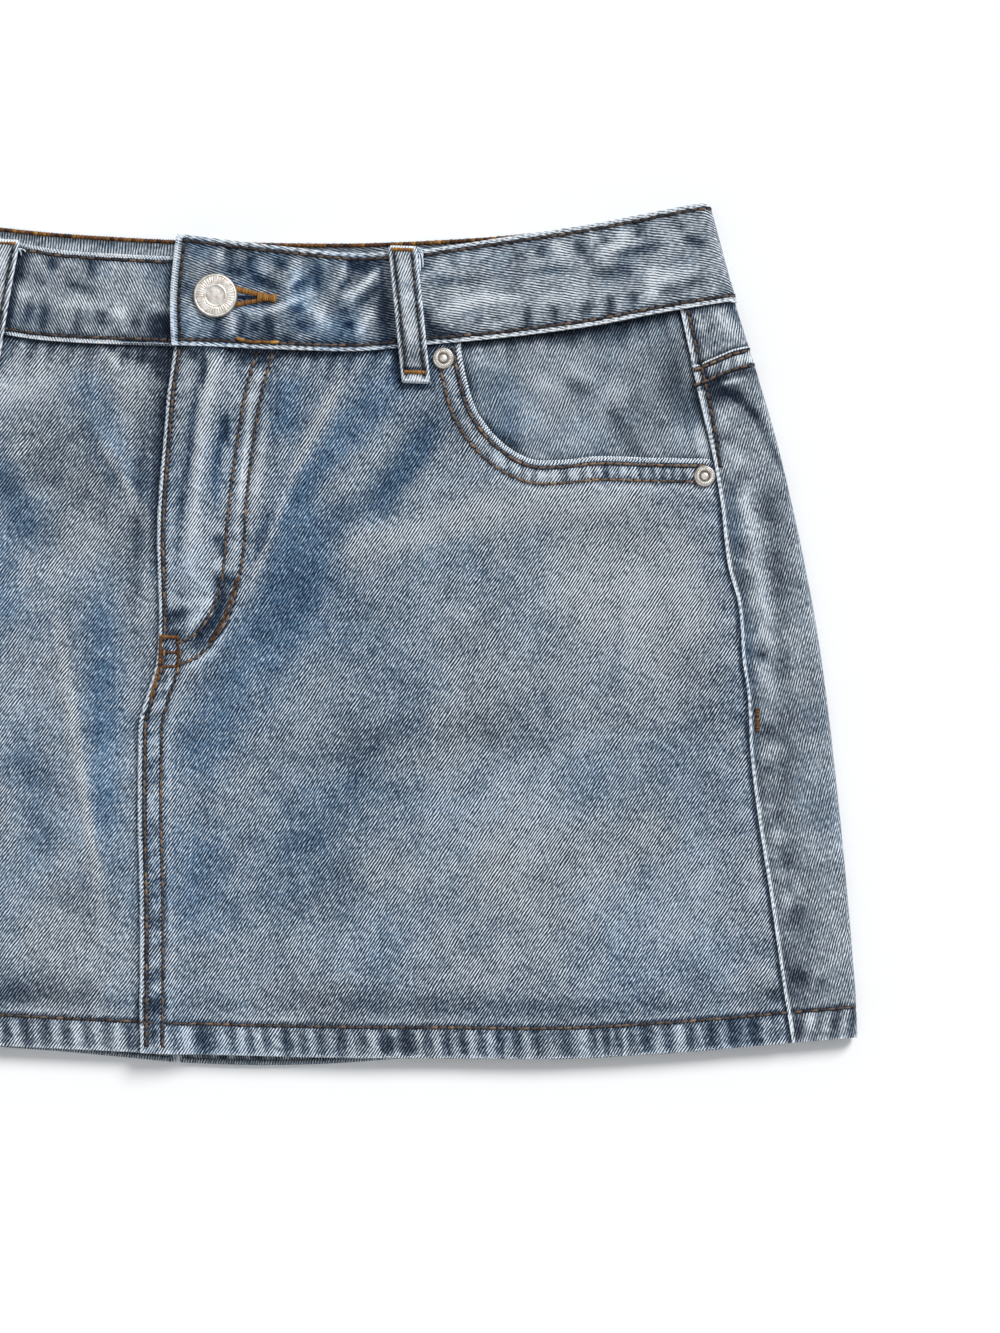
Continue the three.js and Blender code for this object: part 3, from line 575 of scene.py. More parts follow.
def cut_out(points, faces, marks, level):
    """Cuts a sheet along the line where level is 0, and keeps what is above it."""
    points, marks = list(points), list(marks)
    level = list(level)
    crossing = {}

    def cross(i, j):
        key = (min(i, j), max(i, j))
        if key not in crossing:
            t = level[i] / (level[i] - level[j])
            points.append(points[i] + t * (points[j] - points[i]))
            marks.append(marks[i] + t * (marks[j] - marks[i]))
            level.append(0)
            crossing[key] = len(points) - 1
        return crossing[key]

    kept = []
    for face in faces:
        above = [level[i] > 0 for i in face]
        if all(above):
            kept.append(face)
        elif any(above):
            shape = []
            for i, j in zip(face, face[1:] + face[:1]):
                if level[i] > 0:
                    shape.append(i)
                if (level[i] > 0) != (level[j] > 0):
                    shape.append(cross(i, j))
            kept.append(shape)
    used = sorted({i for face in kept for i in face})
    order = {old: new for new, old in enumerate(used)}
    faces = [[order[i] for i in face] for face in kept]
    return np.array([points[i] for i in used]), faces, np.array([marks[i] for i in used])


def cloth_sheet(name, points, places, light, blue, flip, material, thick, level=None):
    """A sheet of cloth from a grid of points in mm, its places in the twill and its marks, cut along
    the line where level is 0 if there is one, and thickened inwards."""
    points, faces = points.reshape(-1, 3), grid_faces(*light.shape, flip)
    marks = np.stack([*places, light, blue], -1).reshape(-1, 4)
    if level is not None:
        points, faces, marks = cut_out(points, faces, marks, level.ravel())
    piece = mesh_piece(name, points, faces, marks, material)
    thicken(piece, thick)
    return piece


def tube(path, normal, wide, high, sides):
    """Points and faces of a closed round or flat cord that follows a path, wide across and high up."""
    path, normal = np.asarray(path, float), np.asarray(normal, float)
    run = np.gradient(path, axis=0)
    across = np.cross(run, normal)
    across /= np.linalg.norm(across, axis=1, keepdims=True)
    angle = 2 * pi * np.arange(sides) / sides
    wide, high = np.broadcast_to(wide, len(path)), np.broadcast_to(high, len(path))
    ring = across[:, None] * (np.cos(angle) * wide[:, None])[..., None]
    ring = ring + normal[:, None] * (np.sin(angle) * high[:, None])[..., None]
    points = (path[:, None] + ring).reshape(-1, 3)
    index = np.arange(len(points)).reshape(len(path), sides)
    after = np.roll(index, -1, axis=1)
    faces = np.stack([index[:-1], after[:-1], after[1:], index[1:]], -1).reshape(-1, 4).tolist()
    return points, faces + [index[0, ::-1].tolist(), index[-1].tolist()]


def cord_piece(path, normal, wide, high, sides, light, blue, lean, material):
    """A turned edge, or a flat dark strip that paints a stitch channel's shade: a cord of the cloth, with
    marks like its neighbours'.
    """
    points, faces = tube(path, normal, wide, high, sides)
    across, along = twill(points[:, 0], points[:, 1], lean)
    light = np.repeat(np.broadcast_to(light, len(path)), sides)
    blue = np.full(len(points), blue)
    return mesh_piece("cord", points, faces, np.stack([across, along, light, blue], 1), material)


# Washed denim twill: white weft shows between indigo warp floats in steep lines, worn to white on edges and
# ridges, and darker in the puckers, partly from the wash and partly as painted shade. Cast shadows and the
# shade of the stitch channels are painted into it too. Matt and soft, with no gloss.
TWILL_PITCH = 1  # mm across the lines; the real 0.8 mm is drawn coarser so that it shows
FLOAT_LONG = 1.9  # mm of one warp float along a line
SLUB = 3.6  # mm between thick and thin places in the yarns


def washed_denim(name, greys, blues, lines, speckle):
    """Denim from five tones of its worn grey-blue and of its bluer places, dark to light, and how
    strongly its twill lines and the speckle of its single floats show."""
    material, tree, surface = new_material(name)
    place = add_node(tree, "ShaderNodeUVMap", {"uv_map": "twill"}).outputs["UV"]

    def noise(size, long=1, detail=1.5):
        scale = (1 / (size * MM), 1 / (size * long * MM), 1)
        turned = add_node(tree, "ShaderNodeMapping", {"Scale": scale}, {0: place}).outputs[0]
        return add_node(tree, "ShaderNodeTexNoise", {"Scale": 1, "Detail": detail}, {0: turned}).outputs[0]

    def math(operation, *values, clamp=False):
        fixed = {i: v for i, v in enumerate(values) if isinstance(v, (int, float))}
        links = {i: v for i, v in enumerate(values) if i not in fixed}
        fixed["operation"], fixed["use_clamp"] = operation, clamp
        return add_node(tree, "ShaderNodeMath", fixed, links).outputs[0]

    across = add_node(tree, "ShaderNodeSeparateXYZ", (), {0: place}).outputs["X"]
    wander = math("MULTIPLY", noise(6, 2), 1.3)
    turn = math("MULTIPLY", math("MULTIPLY_ADD", across, 1 / (TWILL_PITCH * MM), wander), 2 * pi)
    wave = math("SINE", turn)
    floats = math("SUBTRACT", noise(0.55, FLOAT_LONG / 0.55), 0.5)
    slub = math("SUBTRACT", noise(SLUB, 1.6, 3), 0.5)
    blue = add_node(tree, "ShaderNodeAttribute", {"attribute_name": "blue"}).outputs["Fac"]
    tint = math("ADD", math("MULTIPLY_ADD", noise(40, 1, 3), 1.2, -0.4), blue, clamp=True)
    faint = math("MULTIPLY", math("MULTIPLY_ADD", slub, -0.8, lines), math("MULTIPLY_ADD", tint, -0.35, 1))
    weave = math("MULTIPLY_ADD", wave, faint, math("MULTIPLY", floats, speckle))
    weave = math("ADD", math("MULTIPLY_ADD", slub, 0.3, weave), 0.5)
    # The mark that lightens worn places and darkens the painted shade and shadows
    wear = add_node(tree, "ShaderNodeAttribute", {"attribute_name": "wear"}).outputs["Fac"]
    worn = math("MULTIPLY_ADD", wear, 0.42, weave, clamp=True)
    grey, bluer = (colour_ramp(tree, worn, tones, (0, 0.25, 0.5, 0.75, 1)) for tones in (greys, blues))
    colour = add_node(tree, "ShaderNodeMix", {"data_type": "RGBA"}, {0: tint, 6: grey, 7: bluer})
    bump = add_node(tree, "ShaderNodeBump", {"Strength": 0.4, "Distance": 0.12 * MM}, {"Height": weave})
    tree.links.new(colour.outputs[2], surface.inputs["Base Color"])
    tree.links.new(bump.outputs[0], surface.inputs["Normal"])
    surface.inputs["Roughness"].default_value = 0.92
    surface.inputs["IOR"].default_value = 1.45
    surface.inputs["Specular IOR Level"].default_value = 0.2
    surface.inputs["Sheen Weight"].default_value = 0.05
    surface.inputs["Sheen Roughness"].default_value = 0.5
    return material


GREY_TONES = ("#081224", "#323b47", "#5f6973", "#949fa9", "#e2e8ee")
BLUE_TONES = ("#050f22", "#233952", "#4b6783", "#7e9ab3", "#cdddee")
panel_denim = {
    1: washed_denim("washed denim twill", GREY_TONES, BLUE_TONES, 0.56, 1.4),
    -1: washed_denim("softer denim twill", GREY_TONES, BLUE_TONES, 0.46, 1.3),
}

# Topstitching: three-ply polyester-cotton thread in tobacco brown, sewn at eight stitches to the inch,
# and a golden one for the bar tacks, the buttonhole and the chain stitch. Matt, and darker where the
# wash has worn it. Each stitch is a short arched cord that dives into the cloth at both ends.
STITCH_PITCH = 3.35
CORD_LEAN = 57  # degrees, the twill on the fronts' edges and channels
CHANNEL = (1.05, 0.07)  # mm, half the width and half the height of a row's channel
THREAD = 1.05  # mm thick


def spun_thread(name, tones):
    """Spun thread in four tones, dark to light, that a mark on each stitch picks from."""
    material, tree, surface = new_material(name)
    mark = add_node(tree, "ShaderNodeAttribute", {"attribute_name": "tone"}).outputs["Fac"]
    tree.links.new(colour_ramp(tree, mark, tones, (0, 0.33, 0.66, 1)), surface.inputs["Base Color"])
    surface.inputs["Roughness"].default_value = 0.7
    surface.inputs["Specular IOR Level"].default_value = 0.3
    return material


thread = spun_thread("tobacco topstitching thread", ("#231e1c", "#463a32", "#6a5544", "#8e6f52"))
tack_thread = spun_thread("golden tack thread", ("#2a180c", "#54351a", "#865a25", "#b3833a"))


def stitch_shape():
    """One stitch along x: five rings of six points and two ends, as points and faces."""
    stations = np.array([-1, -0.72, 0, 0.72, 1])
    girth = np.array([0.35, 0.9, 1, 0.9, 0.35])
    arch = np.array([-0.5, 0.28, 0.45, 0.28, -0.5])
    angle = 2 * pi * np.arange(6) / 6
    points = np.zeros((5, 6, 3))
    points[..., 0] = stations[:, None]
    points[..., 1] = girth[:, None] * np.cos(angle)
    points[..., 2] = 0.8 * girth[:, None] * np.sin(angle) + arch[:, None]
    index = np.arange(30).reshape(5, 6)
    after = np.roll(index, -1, axis=1)
    faces = np.stack([index[:-1], after[:-1], after[1:], index[1:]], -1).reshape(-1, 4).tolist()
    return points.reshape(-1, 3), [f[::-1] for f in faces] + [index[0].tolist(), index[-1, ::-1].tolist()]


def row_of(place, **look):
    """A row to sew: the points and normals of its path, and what sets its stitches apart."""
    return dict(path=place[0], normal=place[1], **look)


def sew(name, rows, finish=thread):
    """Stitches of one or more rows, as one piece. A row has points, normals, and a tone from 0 to 1."""
    shape, shape_faces = stitch_shape()
    points, faces, tones = [], [], []
    dice = np.random.default_rng(len(name))
    for row in rows:
        path, normal = np.asarray(row["path"]), np.asarray(row["normal"])
        thick = row.get("thick", THREAD) / 2
        run = np.concatenate([[0], np.cumsum(np.linalg.norm(np.diff(path, axis=0), axis=1))])
        pitch = row.get("pitch", STITCH_PITCH)
        count = max(1, int(round(run[-1] / pitch)))
        ends = np.linspace(0, run[-1], count + 1)
        place = lambda s, values: np.stack([np.interp(s, run, values[:, k]) for k in range(3)], 1)
        a, b = place(ends[:-1], path), place(ends[1:], path)
        up = place((ends[:-1] + ends[1:]) / 2, normal)
        up /= np.linalg.norm(up, axis=1, keepdims=True)
        along = b - a
        half = np.linalg.norm(along, axis=1, keepdims=True) / 2
        along /= 2 * half
        slant = np.cross(up, along)
        along = along + 0.06 * slant + 0.05 * dice.normal(size=(count, 1)) * slant
        side = np.cross(up, along)
        reach = half * row.get("cover", 0.93)
        spot = (a + b)[:, None] / 2 + along[:, None] * (shape[:, 0] * reach)[..., None]
        spot = spot + side[:, None] * (shape[:, 1] * thick)[None, :, None]
        spot = spot + up[:, None] * (shape[:, 2] * thick)[None, :, None]
        start = sum(len(p) for p in points)
        points.append(spot.reshape(-1, 3))
        for i in range(count):
            faces += [[v + start + 30 * i for v in face] for face in shape_faces]
        tone = row.get("tone", 0.3) + dice.normal(scale=row.get("fade", 0.2), size=count)
        tones.append(np.repeat(np.clip(tone, 0, 1), 30))
    points, tones = np.concatenate(points), np.concatenate(tones)
    mesh = bpy.data.meshes.new(name)
    mesh.from_pydata((points * MM).tolist(), [], faces)
    mesh.attributes.new("tone", "FLOAT", "POINT").data.foreach_set("value", tones)
    mesh.polygons.foreach_set("use_smooth", np.ones(len(mesh.polygons), bool))
    mesh.materials.append(finish)
    piece = bpy.data.objects.new(name, mesh)
    bpy.context.collection.objects.link(piece)
    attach(piece, "root")
    return piece


def over(face, x, down, lift=0.0):
    """Points on a face, given as a height over the plan, and the normals there."""
    x, down = np.asarray(x, float), np.asarray(down, float)
    z = face(x, down)
    slope_x = face(x + 0.5, down) - face(x - 0.5, down)
    slope_d = face(x, down + 0.5) - face(x, down - 0.5)
    normal = np.stack([-slope_x, slope_d, np.ones_like(z)], -1)
    normal /= np.linalg.norm(normal, axis=-1, keepdims=True)
    return np.stack([x, MID_DOWN - down, z], -1) + lift * normal, normal


def front_face(side):
    """The outer face of a front, with its relief, as a height over the plan."""
    if side > 0:
        return lambda x, down: front_height(x, down) + flap_lift(x, down) + front_marks(1, x, down)[0]
    return lambda x, down: front_height(x, down) + front_marks(-1, x, down)[0]


def channel(side, line, depth):
    """The shade of the channel that a row of stitches lies in, painted on a flat dark strip of cloth just
    proud of it.
    """
    path, normal = over(front_face(side), line[:, 0], line[:, 1], 0.02)
    return cord_piece(path, normal, *CHANNEL, 6, depth, 0.1, CORD_LEAN, panel_denim[side])


def turned_edge(side, line, seed, radius, light):
    """A front's folded, worn edge: a soft cord at half the cloth's thickness."""
    path, normal = over(front_face(side), line[:, 0], line[:, 1], -radius)
    run = np.arange(len(path)) * LINE_STEP
    light = light + 0.55 * puckers(run, seed, 3)
    swell = radius * (1 + 0.15 * hills(run, 0, 3, seed))
    return cord_piece(path, normal, swell, swell, 8, light, -0.2, CORD_LEAN, panel_denim[side])


def inside_mouth(x, down):
    """Signed distance in the plan from the pocket's mouth, above 0 on the cloth."""
    corner = [(pocket_line[-1][0], 0), (pocket_line[0][0], 0)]
    ring = [tuple(p) for p in pocket_line] + corner
    inside = np.zeros(np.shape(x), bool)
    for (ax, ad), (bx, bd) in zip(ring, ring[1:] + ring[:1]):
        if ad != bd:
            meets = (ad > down) != (bd > down)
            inside ^= meets & (x < (bx - ax) * (down - ad) / (bd - ad) + ax)
    return np.where(inside, -1, 1) * line_distance(pocket_line, x, down)


FRONT_LEAN = {1: 59, -1: 56}
FRONT_STEP = 1.55
HEM_ROWS = (20, 17, 14.5, 13.2, 12.2, 11.2, 9.5, 7.5, 5.5, 3.5, 2, 1, 0.45, 0.12, 0)
EDGE_ROWS = (0, 0.15, 0.5, 1.1, 2, 3.2, 4.6)


def make_front(side, hand):
    """A front, from the lap or from under it to the side seam, with its mouth cut out and edges turned."""
    inner = centre_edge if side > 0 else (lambda d: centre_edge(d) + LAP)
    outer = lambda d: side * (side_seam(d) - SEAM_GAP / 2)
    near = (*EDGE_ROWS, *np.arange(6, 46, 1.1)) if side > 0 else EDGE_ROWS
    columns = spread(235, FRONT_STEP, near, EDGE_ROWS[::-1])
    rows = spread(282, FRONT_STEP, EDGE_ROWS, HEM_ROWS)
    top = lambda x, behind: band_lower_front(np.abs(x)) + SEAM_GAP
    bottom = lambda x, behind: hem_front(np.abs(x))
    x, down = patch(columns, rows, inner, outer, top, bottom)
    height, light, blue = front_marks(side, x, down)
    z = front_height(x, down) + height + (flap_lift(x, down) if side > 0 else 0)
    piece = cloth_sheet(
        f"denim_front_{hand}", np.stack([x, MID_DOWN - down, z], -1), twill(x, -down, FRONT_LEAN[side]),
        light, blue, side < 0, panel_denim[side], CLOTH - 0.1, inside_mouth(np.abs(x), down),
    )
    hem_x = inner(320) + side * np.arange(0, 240, LINE_STEP)
    hem_x = hem_x[np.abs(hem_x) < 246]
    hem = np.stack([hem_x, hem_front(np.abs(hem_x)) - 0.5], 1)
    mouth = pocket_line[(pocket_line[:, 1] > band_lower_front(104)) & (pocket_line[:, 0] < side_seam(77) - 1)]
    extras = [turned_edge(side, hem, 61, 0.75, 0.3), turned_edge(side, mouth * [side, 1], 62, 0.6, 0.65)]
    if side > 0:
        lap_down = np.arange(band_lower_front(12) + 1, 321, LINE_STEP)
        lap = np.stack([centre_edge(lap_down) + 0.5, lap_down], 1)
        extras.append(turned_edge(side, lap, 64, 0.95, 0.9))
    return piece, extras


def beside(line, off):
    """A line moved sideways in the plan, to its left when it runs to the right."""
    run = np.gradient(np.asarray(line, float), axis=0)
    run /= np.linalg.norm(run, axis=1, keepdims=True)
    return line + off * np.stack([run[:, 1], -run[:, 0]], 1)


# A channel's depth here is how dark its painted shade is
front_rows = {1: [], -1: []}  # a line, its stitches' tone and its channel's depth
for side, end, least in ((1, -15, -12), (-1, -5, 9)):
    hem_x = side * np.arange(0, 245, LINE_STEP)
    hem_x = np.concatenate([[end], hem_x[hem_x * side > least]])
    front_rows[side].append((np.stack([hem_x, hem_front(np.abs(hem_x)) - HEM_DEPTH], 1), 0.42, -1.5))
    for off in (2.4, 8.8):
        row = beside(pocket_line, -off)
        keep = (row[:, 1] > band_lower_front(np.abs(row[:, 0])) + 1) & (row[:, 0] < side_seam(row[:, 1]) - 3)
        front_rows[side].append((row[keep] * [side, 1], 0.62, -1.2))
lap_down = np.arange(40, 158, LINE_STEP)
front_rows[1].append((np.stack([centre_edge(lap_down) + 2.1, lap_down], 1), 0.5, -1.2))
lap_down = np.arange(160, 320, LINE_STEP)
for off in (2.5, 9):
    front_rows[1].append((np.stack([centre_edge(lap_down) + off, lap_down], 1), 0.44, -1.3))
for row in (fly_outer_row, fly_inner_row):
    front_rows[1].append((smooth_line(row, LINE_STEP), 0.46, -0.9))


def bar(face, a, b, wide, tone, step=0.42, lift=0.1):
    """A dense bar of thread from a to b in the plan: a row to sew, one stitch from corner to corner."""
    a, b = np.array(a, float), np.array(b, float)
    length = np.hypot(*(b - a))
    count = int(length / step) + 1
    run = (b - a) / length
    across = np.array([run[1], -run[0]]) * wide / 2
    t = np.arange(count + 1)[:, None]
    corners = a + (b - a) * t / count + across * np.where(t % 2, 1, -1)
    path, normal = over(face, *corners.T, lift)
    pitch = np.linalg.norm(np.diff(path, axis=0), axis=1).mean()
    return row_of((path, normal), tone=tone, fade=0.14, pitch=pitch, thick=0.75, cover=1.12)


fly_bars = [  # a line from x, down to x, down, then its width and tone
    (-11.8, 155, -4.4, 155.2, 1.4, 0.42),
    (-11.6, 161.4, -4.6, 161.2, 0.9, 0.26),
    (-11.4, 167.2, -4.4, 166.6, 1, 0.3),
    (-11.6, 155, -11.6, 167.3, 1.2, 0.3),
    (-4.6, 155, -4.4, 167, 1.1, 0.22),
    (-11.8, 167, -14.8, 179.6, 0.9, 0.6),
    (18.2, 131, 13, 148, 0.9, 0.3),
    (13, 148, 8, 156.5, 0.9, 0.22),
]

for side, hand in HANDS:
    piece, extras = make_front(side, hand)
    face = front_face(side)
    extras += [channel(side, line, depth) for line, tone, depth in front_rows[side]]
    join_to(piece, extras)
    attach(piece, "root")
    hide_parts(f"front_{hand}")
    rows = [row_of(over(face, *line.T), tone=tone) for line, tone, depth in front_rows[side]]
    sew(f"topstitching_front_{hand}", rows)
    if side > 0:
        sew("fly_bar_tacks", [bar(face, row[:2], row[2:4], *row[4:]) for row in fly_bars], tack_thread)

# The pocket facings: the same denim one layer down, which shows in the pocket's mouth, painted darker near
# the waistband where the band's shadow falls, and bent along the side seam.
# Crease lines and painted shade of the facings, with the columns of the fronts' table
facing_creases = [
    (118, 44, 126, 72, 8, 0, -0.1, 0.3),
    (131, 45.5, 150, 56, 4, 0.3, 0.3, -0.2),
    (147, 48, 157, 52, 2.6, -0.3, -0.5, 0),
    (148, 44, 160, 45, 3, 0.2, 0.35, 0),
    (163, 49, 172, 53, 5, 0.3, 0.5, -0.2),
    (122, 54, 140, 68, 5, 0.1, 0.25, 0),
    (164, 57, 175, 74, 3, -0.3, -0.4, 0),
    (172, 73, 178, 74, 3, -0.2, -0.5, 0),
    (150, 62, 166, 74, 6, 0.2, 0.2, 0.3),
    (184, 61, 187, 65, 2, -0.2, -0.5, 0),
    (186, 34, 193, 60, 5, -0.2, -0.55, 0),
    (197, 46, 200, 60, 2.4, -0.2, -0.6, 0),
    (200, 64, 204, 74, 3, 0.2, 0.9, -0.2),
    (190, 66, 196, 72, 3, 0, 0.2, 0),
    (112, 64, 130, 76, 2.6, -0.2, -0.7, 0),
    (106, 42, 109, 54, 1.8, -0.1, -0.6, 0),
    (109, 40, 122, 43, 2.4, 0.2, 0.4, 0),
]
FACING_GREYS = ("#0a1422", "#37424e", "#626e7a", "#919ca6", "#d6dde5")
facing_denim = washed_denim("facing denim", FACING_GREYS, BLUE_TONES, 0.4, 1.1)
for side, hand in HANDS:
    inner = lambda d: FACING_X + 0 * d
    outer = lambda d: side_seam(d) - SEAM_GAP / 2
    top = lambda x, behind: band_lower_front(np.abs(x)) + SEAM_GAP
    bottom = lambda x, behind: FACING_DOWN + 0 * x
    u, down = patch(spread(110, FRONT_STEP), spread(60, FRONT_STEP), inner, outer, top, bottom)
    x = side * u
    seam = down - band_lower_front(u)
    edge = side_seam(down) - u
    mouth = line_distance(pocket_line, u, down)
    pull = puckers(u, 71 + side, 6)
    height = 0.12 * hills(x, down, 22, 72) + 0.15 * pull * (1 - ease(2, 12, seam)) - 0.2 * band(7, edge, 2.5)
    # Painted shade: the waistband's shadow under its lower edge, and dark along the pocket mouth and near the
    # side seam
    shade_wide = 2.2 + 3.4 * ease(118, 168, u) - 2 * ease(174, 188, u)
    light = 0.12 * hills(x, down, 20, 73) + 0.25 * hills(x, down, 6, 74) - 1.5 * band(0, seam, shade_wide)
    light = light + 0.35 * pull * (1 - ease(3, 12, seam)) - 0.2 * band(7, edge, 2) - 0.5 * band(0, mouth, 1.5)
    light = light - 0.5 * band(0, edge, 1.2)
    rise, shade, blue = place_marks(facing_creases, u, down)
    height, light, blue = height + rise, light + shade, blue + 0.35 * hills(x, down, 18, 75) - 0.2
    z = front_height(x, down) - CLOTH - SEAM_GAP + height - 0.1
    places = twill(x, -down - 0.35 * side * np.maximum(0, 7 - edge), 68)
    piece = cloth_sheet(
        f"denim_facing_{hand}", np.stack([x, MID_DOWN - down, z], -1), places,
        light, blue, side < 0, facing_denim, 0.9,
    )
    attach(piece, "root")
    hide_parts(f"pocket_facing_{hand}")

# The backs and their yokes: they are rolled round the sides to the front's side seams, where the
# allowances are turned to the back and stitched down to the hip. The yoke is lapped by the back
# with two rows. Both halves meet in a twice-stitched seam at the centre back.
YOKE_DEPTH = dict(side=17.5, centre=44, half=215, bend=1.3)


def yoke_seam(x, behind):
    """Down to the yoke's seam, on the front of the side fold or behind it."""
    share = np.where(behind, (1 - np.clip(np.abs(x) / YOKE_DEPTH["half"], 0, 1)) ** YOKE_DEPTH["bend"], 0)
    seam = np.where(behind, band_lower_back(np.abs(x)), band_lower_front(np.abs(x)))
    dip = np.where(behind, 0, 5.8 * np.clip((220 - np.abs(x)) / 21, 0, 1))
    return seam + YOKE_DEPTH["side"] + dip + (YOKE_DEPTH["centre"] - YOKE_DEPTH["side"]) * share


def hem_line(x, behind):
    """Down to the back's hem, which sags a little at one place and peeks out below the front."""
    away = np.clip(np.abs(x - 25) / 80, 0, 1)
    return np.where(behind, hem_behind(np.abs(x)) + 2.7 * (1 - away**2) ** 2, hem_front(np.abs(x)))


def band_seam(x, behind):
    """Down to the cloth's upper edge under the waistband."""
    return np.where(behind, band_lower_back(np.abs(x)), band_lower_front(np.abs(x))) + SEAM_GAP


def centre_back(down, fold=BODY_FOLD, proud=0):
    """The distance round, from the centre front, of the seam at the centre back."""
    return 2 * (half_width(down) + proud - fold) + pi * fold - SEAM_GAP / 2


# Crease lines, worn places and painted shade of the backs: their lightness paints the crease lines lit and
# shaded, and the shadows beneath the yoke's lap and beside the side seam's turned edge
back_creases = [  # the places are distances round from the centre front, and down
    (203, 24, 204, 25, 2, -0.3, -0.9, 0),
    (211, 14, 217, 23, 2, -0.2, -0.6, 0.6),
    (206, 17, 214, 28, 2.4, 0.3, 0.5, 0),
    (204, 48.5, 216, 50.5, 2.7, -0.5, -1.9, 0.1),
    (203, 44, 210, 46, 3, -0.3, -0.7, 0),
    (215, 50.5, 225, 60, 2, -0.4, -1.2, 0),
    (224, 59.5, 236, 81, 1.8, -0.35, -0.75, 0),
    (208, 62, 213, 64, 2, 0.3, 0.4, 0),
    (208, 68, 215, 68, 2, -0.3, -0.7, 0),
    (213, 72, 219, 79, 2.6, 0.2, 0.45, 0),
    (216, 82, 220, 84, 2.4, -0.1, -0.4, 0.2),
    (219, 86, 223, 104, 3, 0.3, 0.55, 0.2),
    (223, 104, 227, 124, 2.8, 0.2, 0.4, 0.2),
    (227, 124, 231, 140, 2.8, 0.3, 0.6, 0.1),
    (225, 143, 227, 144, 2, -0.4, -0.9, 0.1),
    (231, 146, 233, 150, 2.4, 0.3, 0.4, 0),
    (227, 154, 231, 154.6, 1.9, -0.3, -0.9, 0.1),
    (231, 160, 235, 174, 3, 0.3, 0.45, 0.2),
    (231, 181, 233, 186, 2.4, -0.2, -0.4, 0),
    (231, 191, 240, 191, 2.2, 0.3, 0.45, 0),
    (231, 199, 235, 200, 2.4, -0.3, -0.9, 0),
    (235, 217, 240, 218, 2.2, -0.2, -0.6, 0),
    (239, 232, 243, 238, 2.4, -0.2, -0.6, 0),
    (244, 246, 248, 246, 3, 0.2, 0.3, 0),
    (244, 255, 250, 256, 2.6, -0.2, -0.55, 0),
    (245, 282, 252, 284, 3, -0.3, -0.9, 0),
    (256, 283, 259, 285, 2, -0.2, -0.6, 0),
    (214, 86, 221, 134, 2.6, -0.2, -0.3, 0.4),
    (222, 140, 227, 196, 2.8, -0.2, -0.3, 0.4),
    (228, 84, 236, 132, 4, -0.3, -0.4, -0.3),
    (236, 132, 240, 200, 4, -0.3, -0.4, -0.3),
    (240, 200, 247, 284, 4.5, -0.2, -0.3, -0.1),
    (330, 120, 300, 250, 26, 0, 0.14, 0.2),
    (420, 110, 440, 240, 40, 0, 0.25, -0.4),
    (500, 90, 512, 200, 12, 0, -0.1, 0.5),
    (300, 70, 420, 96, 8, 0, -0.2, 0.3),
]


def hip_row_at(down):
    """How far behind the side seam its stitches run, until its folded edge hides them."""
    return 3.7 - 1.4 * ease(52, 78, down)


def back_marks(side, u, down):
    """The relief, lightness and blue of the rolled back's outer face, from its seams and crease lines. The
    lightness carries worn edges and painted shade: the shadows under the yoke's lap and the band, and dark
    lines along the rows and beside the side seam.
    """
    x, angle = plan_x(u, down)
    behind = angle < 0
    height, light, blue = place_marks(back_creases, u, down)
    yoke = down - yoke_seam(side * x, behind)
    edge = u - side_seam(down)
    centre = centre_back(down) - u
    rise, shade = hem_marks(-u, hem_line(side * x, behind) - down, side)
    height, light = height + rise, light + shade
    below = ease(-0.2, 0.2, yoke)
    lap = puckers(u, 91 + side, 4)
    # Below the yoke's lapped edge: the edge worn white, puckers painted lit and shaded, and painted shade
    # along its rows; above it, painted shadow under the lap and under the band
    light = light + below * (band(0, yoke, 1.2) + (0.35 + 0.8 * lap) * band(5, yoke, 2.2))
    light = light - below * 0.8 * band(10, yoke, 2.4)
    light = light + below * 0.9 * band(12.6, yoke, 1.1) * (1 - ease(214, 220, u))
    under_band = down - band_seam(side * x, behind)
    light = light - (1 - below) * 0.9 * (band(0, yoke, 1.1) + band(0, under_band, 1.6))
    height = height + below * (0.25 + 0.15 * lap) * band(5, yoke, 3) - 0.2 * band(0, yoke, 1)
    # The side seam's turned edge worn light, and painted shade along the hip row, fainter where the row ends
    rope = puckers(down, 101 + side, 8)
    sewn = 0.35 + 0.65 * (1 - ease(64, 84, down))
    light = light + (0.9 + 0.3 * rope) * band(0.3, edge, 1.3)
    light = light - sewn * (1 + 0.3 * rope) * band(hip_row_at(down), edge, 1.3)
    light = light + 0.4 * puckers(down, 102, 9) * band(7, edge, 3.5)
    height = height - 0.3 * band(hip_row_at(down), edge, 1.6) + 0.15 * rope * band(6, edge, 4)
    # The centre back's edge worn light, with painted shade along the lines of its two rows
    light = light + band(0, centre, 1.2) - 0.35 * band(2.4, centre, 1) - 0.35 * band(9, centre, 1.2)
    light = light + 0.4 * puckers(down, 103, 6) * band(5, centre, 3)
    cloud = 0.12 * hills(u, down, 30, 105) + 0.14 * hills(u, down, 12, 106) + 0.17 * hills(u, down, 4.5, 107)
    height = height + 0.12 * hills(u, down, 24, 108)
    height = np.where(angle < pi / 2, np.minimum(height, 0) - 0.05, height)
    return height, light + cloud + 0.17, blue + 0.25 * hills(u, down, 40, 109) - 0.38


